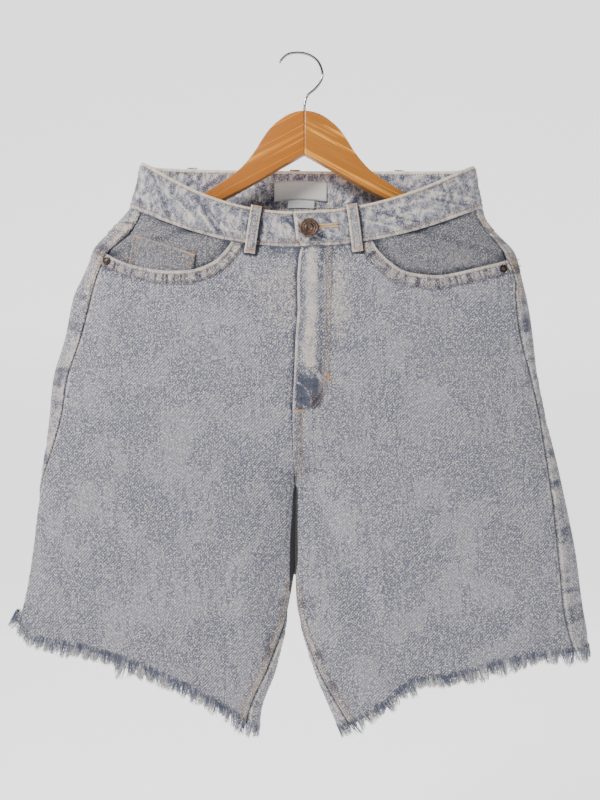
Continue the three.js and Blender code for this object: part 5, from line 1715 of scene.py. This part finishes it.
def weft_yarns(half, face, seed):
    """Wavy crosswise yarns that still hold among the loose ends."""
    draw = np.random.default_rng(seed)
    points, normals, down = hem_frames(half, face, np.linspace(0, 1, 241))
    steps = walked_length(points)
    paths, radii, tones = [], [], []
    for k in range(40):
        long = draw.uniform(14, 55)
        start = draw.uniform(0, max(1, steps[-1] - long))
        drop = draw.uniform(0.2, 5.2)
        at = np.linspace(start, min(start + long, steps[-1] - 0.5), 22)
        root, out, fall = (places_along(at, steps, field) for field in (points, normals, down))
        sag = drop + 0.8 * wobble(at, seed + k, 9) + 0.5 * wobble(at, seed + k + 70, 4)
        end = np.linspace(-1, 1, 22) ** 8 * draw.uniform(1, 5)
        stand = 0.25 + 0.45 * wobble(at, seed + k + 140, 3)
        paths.append(root + fall * (sag + end)[:, None] + out * (stand - 0.5)[:, None])
        radii.append(np.full(22, 0.4) * draw.uniform(0.7, 1.1))
        tones.append(np.clip(np.full(22, 0.6) + draw.normal(0, 0.2) + 0.1 * draw.standard_normal(22), 0, 1))
    return thread_mesh("fringe_%s_%s_wefts" % (face, half.name), np.array(paths), np.array(radii),
                       np.array(tones), YARN)


# Places where the frayed edge hangs lower, as x, width and extra length
FRINGE_TABS = {
    ("right", "front"): [(-187, 5, 7), (-112, 4, 4), (-150, 3, 3)],
    ("left", "front"): [(118, 6, 5), (214, 3, 4), (60, 4, 4)],
}
for half in (RIGHT, LEFT):
    for face in ("front", "back"):
        seed = 300 + 17 * (half.side + 1) + (5 if face == "back" else 0)
        yarns = [fringe_threads(half, face, seed), weft_yarns(half, face, seed + 2)]
        for obj in yarns:
            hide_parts("fringe_%s_%s" % (face, half.name))

# What each sheet of cloth hangs from or is sewn to
HANGS_FROM = {
    "front": "waistband_front_{side}", "back": "yoke_{side}", "yoke": "waistband_back",
    "pocket_facing": "waistband_front_{side}", "back_pocket": "back_{side}",
    "waistband_front": "hanger_arm_{side}", "waistband_back": "hanger_arm_right",
    "coin": "pocket_facing_right", "belt_loop_front": "waistband_front_{side}",
    "belt_loop_back": "waistband_back", "label": "waistband_back",
}
for name, obj in pieces.items():
    if name == "label_strip":
        continue
    group, _, side = name.rpartition("_")
    if name in HANGS_FROM:
        group = name
    width, length, area = CUTS[obj.name]


# Camera, light and floor
camera_data = bpy.data.cameras.new("camera")
camera_data.lens = 38.88
camera_data.sensor_width = 36
camera_data.clip_start = 0.01
camera = bpy.data.objects.new("camera", camera_data)
camera.location = (0.00066, -0.950, -0.3804)
camera.rotation_euler = (math.radians(90), 0, 0)
bpy.context.scene.collection.objects.link(camera)
bpy.context.scene.camera = camera


def area_light(name, place, target, size, power, color=(1, 1, 1)):
    data = bpy.data.lights.new(name, "AREA")
    data.shape = "RECTANGLE"
    data.size, data.size_y = size
    data.energy = power
    data.color = color
    light = bpy.data.objects.new(name, data)
    light.location = place
    direction = np.array(target) - np.array(place)
    light.rotation_euler = mathutils.Vector(direction).to_track_quat("-Z", "Y").to_euler()
    bpy.context.scene.collection.objects.link(light)
    return light


MIDDLE_OF_PART = (0, 0, -0.38)
area_light("key", (-1.0, -0.95, 0.75), MIDDLE_OF_PART, (0.35, 0.35), 44, (1, 0.98, 0.95))
area_light("fill", (1.3, -1.3, -0.1), MIDDLE_OF_PART, (1.4, 1.4), 6, (0.95, 0.97, 1))
area_light("behind", (0.2, 1.6, 0.9), MIDDLE_OF_PART, (1.6, 1.0), 12)

world = bpy.data.worlds.new("studio")
world.use_nodes = True
tree = world.node_tree
toward = tree.nodes.new("ShaderNodeTexCoord").outputs["Generated"]
parts = tree.nodes.new("ShaderNodeSeparateXYZ")
link(tree, toward, parts.inputs[0])
far = gray_ramp(tree, parts.outputs[1], 0.05, 0.7)
link(tree, mix_color(tree, far, (0.17, 0.175, 0.19), (2.4, 2.4, 2.4)), tree.nodes["Background"].inputs[0])
bpy.context.scene.world = world

backdrop_material, tree, shader = new_material("pale_backdrop", (0.9, 0.9, 0.9), 0.9)
shader.inputs["Emission Color"].default_value = (1, 1, 1, 1)
shader.inputs["Emission Strength"].default_value = 1.2
profile = [(-4, -1.2), (2.0, -1.2)]
profile += [(2.0 + math.sin(a) * 1.2, -math.cos(a) * 1.2) for a in np.linspace(0.1, math.pi / 2, 14)]
profile += [(3.2, 4.5)]
backdrop_mesh = bpy.data.meshes.new("backdrop")
backdrop_mesh.from_pydata(
    [(x, y, z) for y, z in profile for x in (-7, 7)], [],
    [(2 * k, 2 * k + 1, 2 * k + 3, 2 * k + 2) for k in range(len(profile) - 1)])
for polygon in backdrop_mesh.polygons:
    polygon.use_smooth = True
backdrop = bpy.data.objects.new("backdrop", backdrop_mesh)
backdrop_mesh.materials.append(backdrop_material)
bpy.context.scene.collection.objects.link(backdrop)
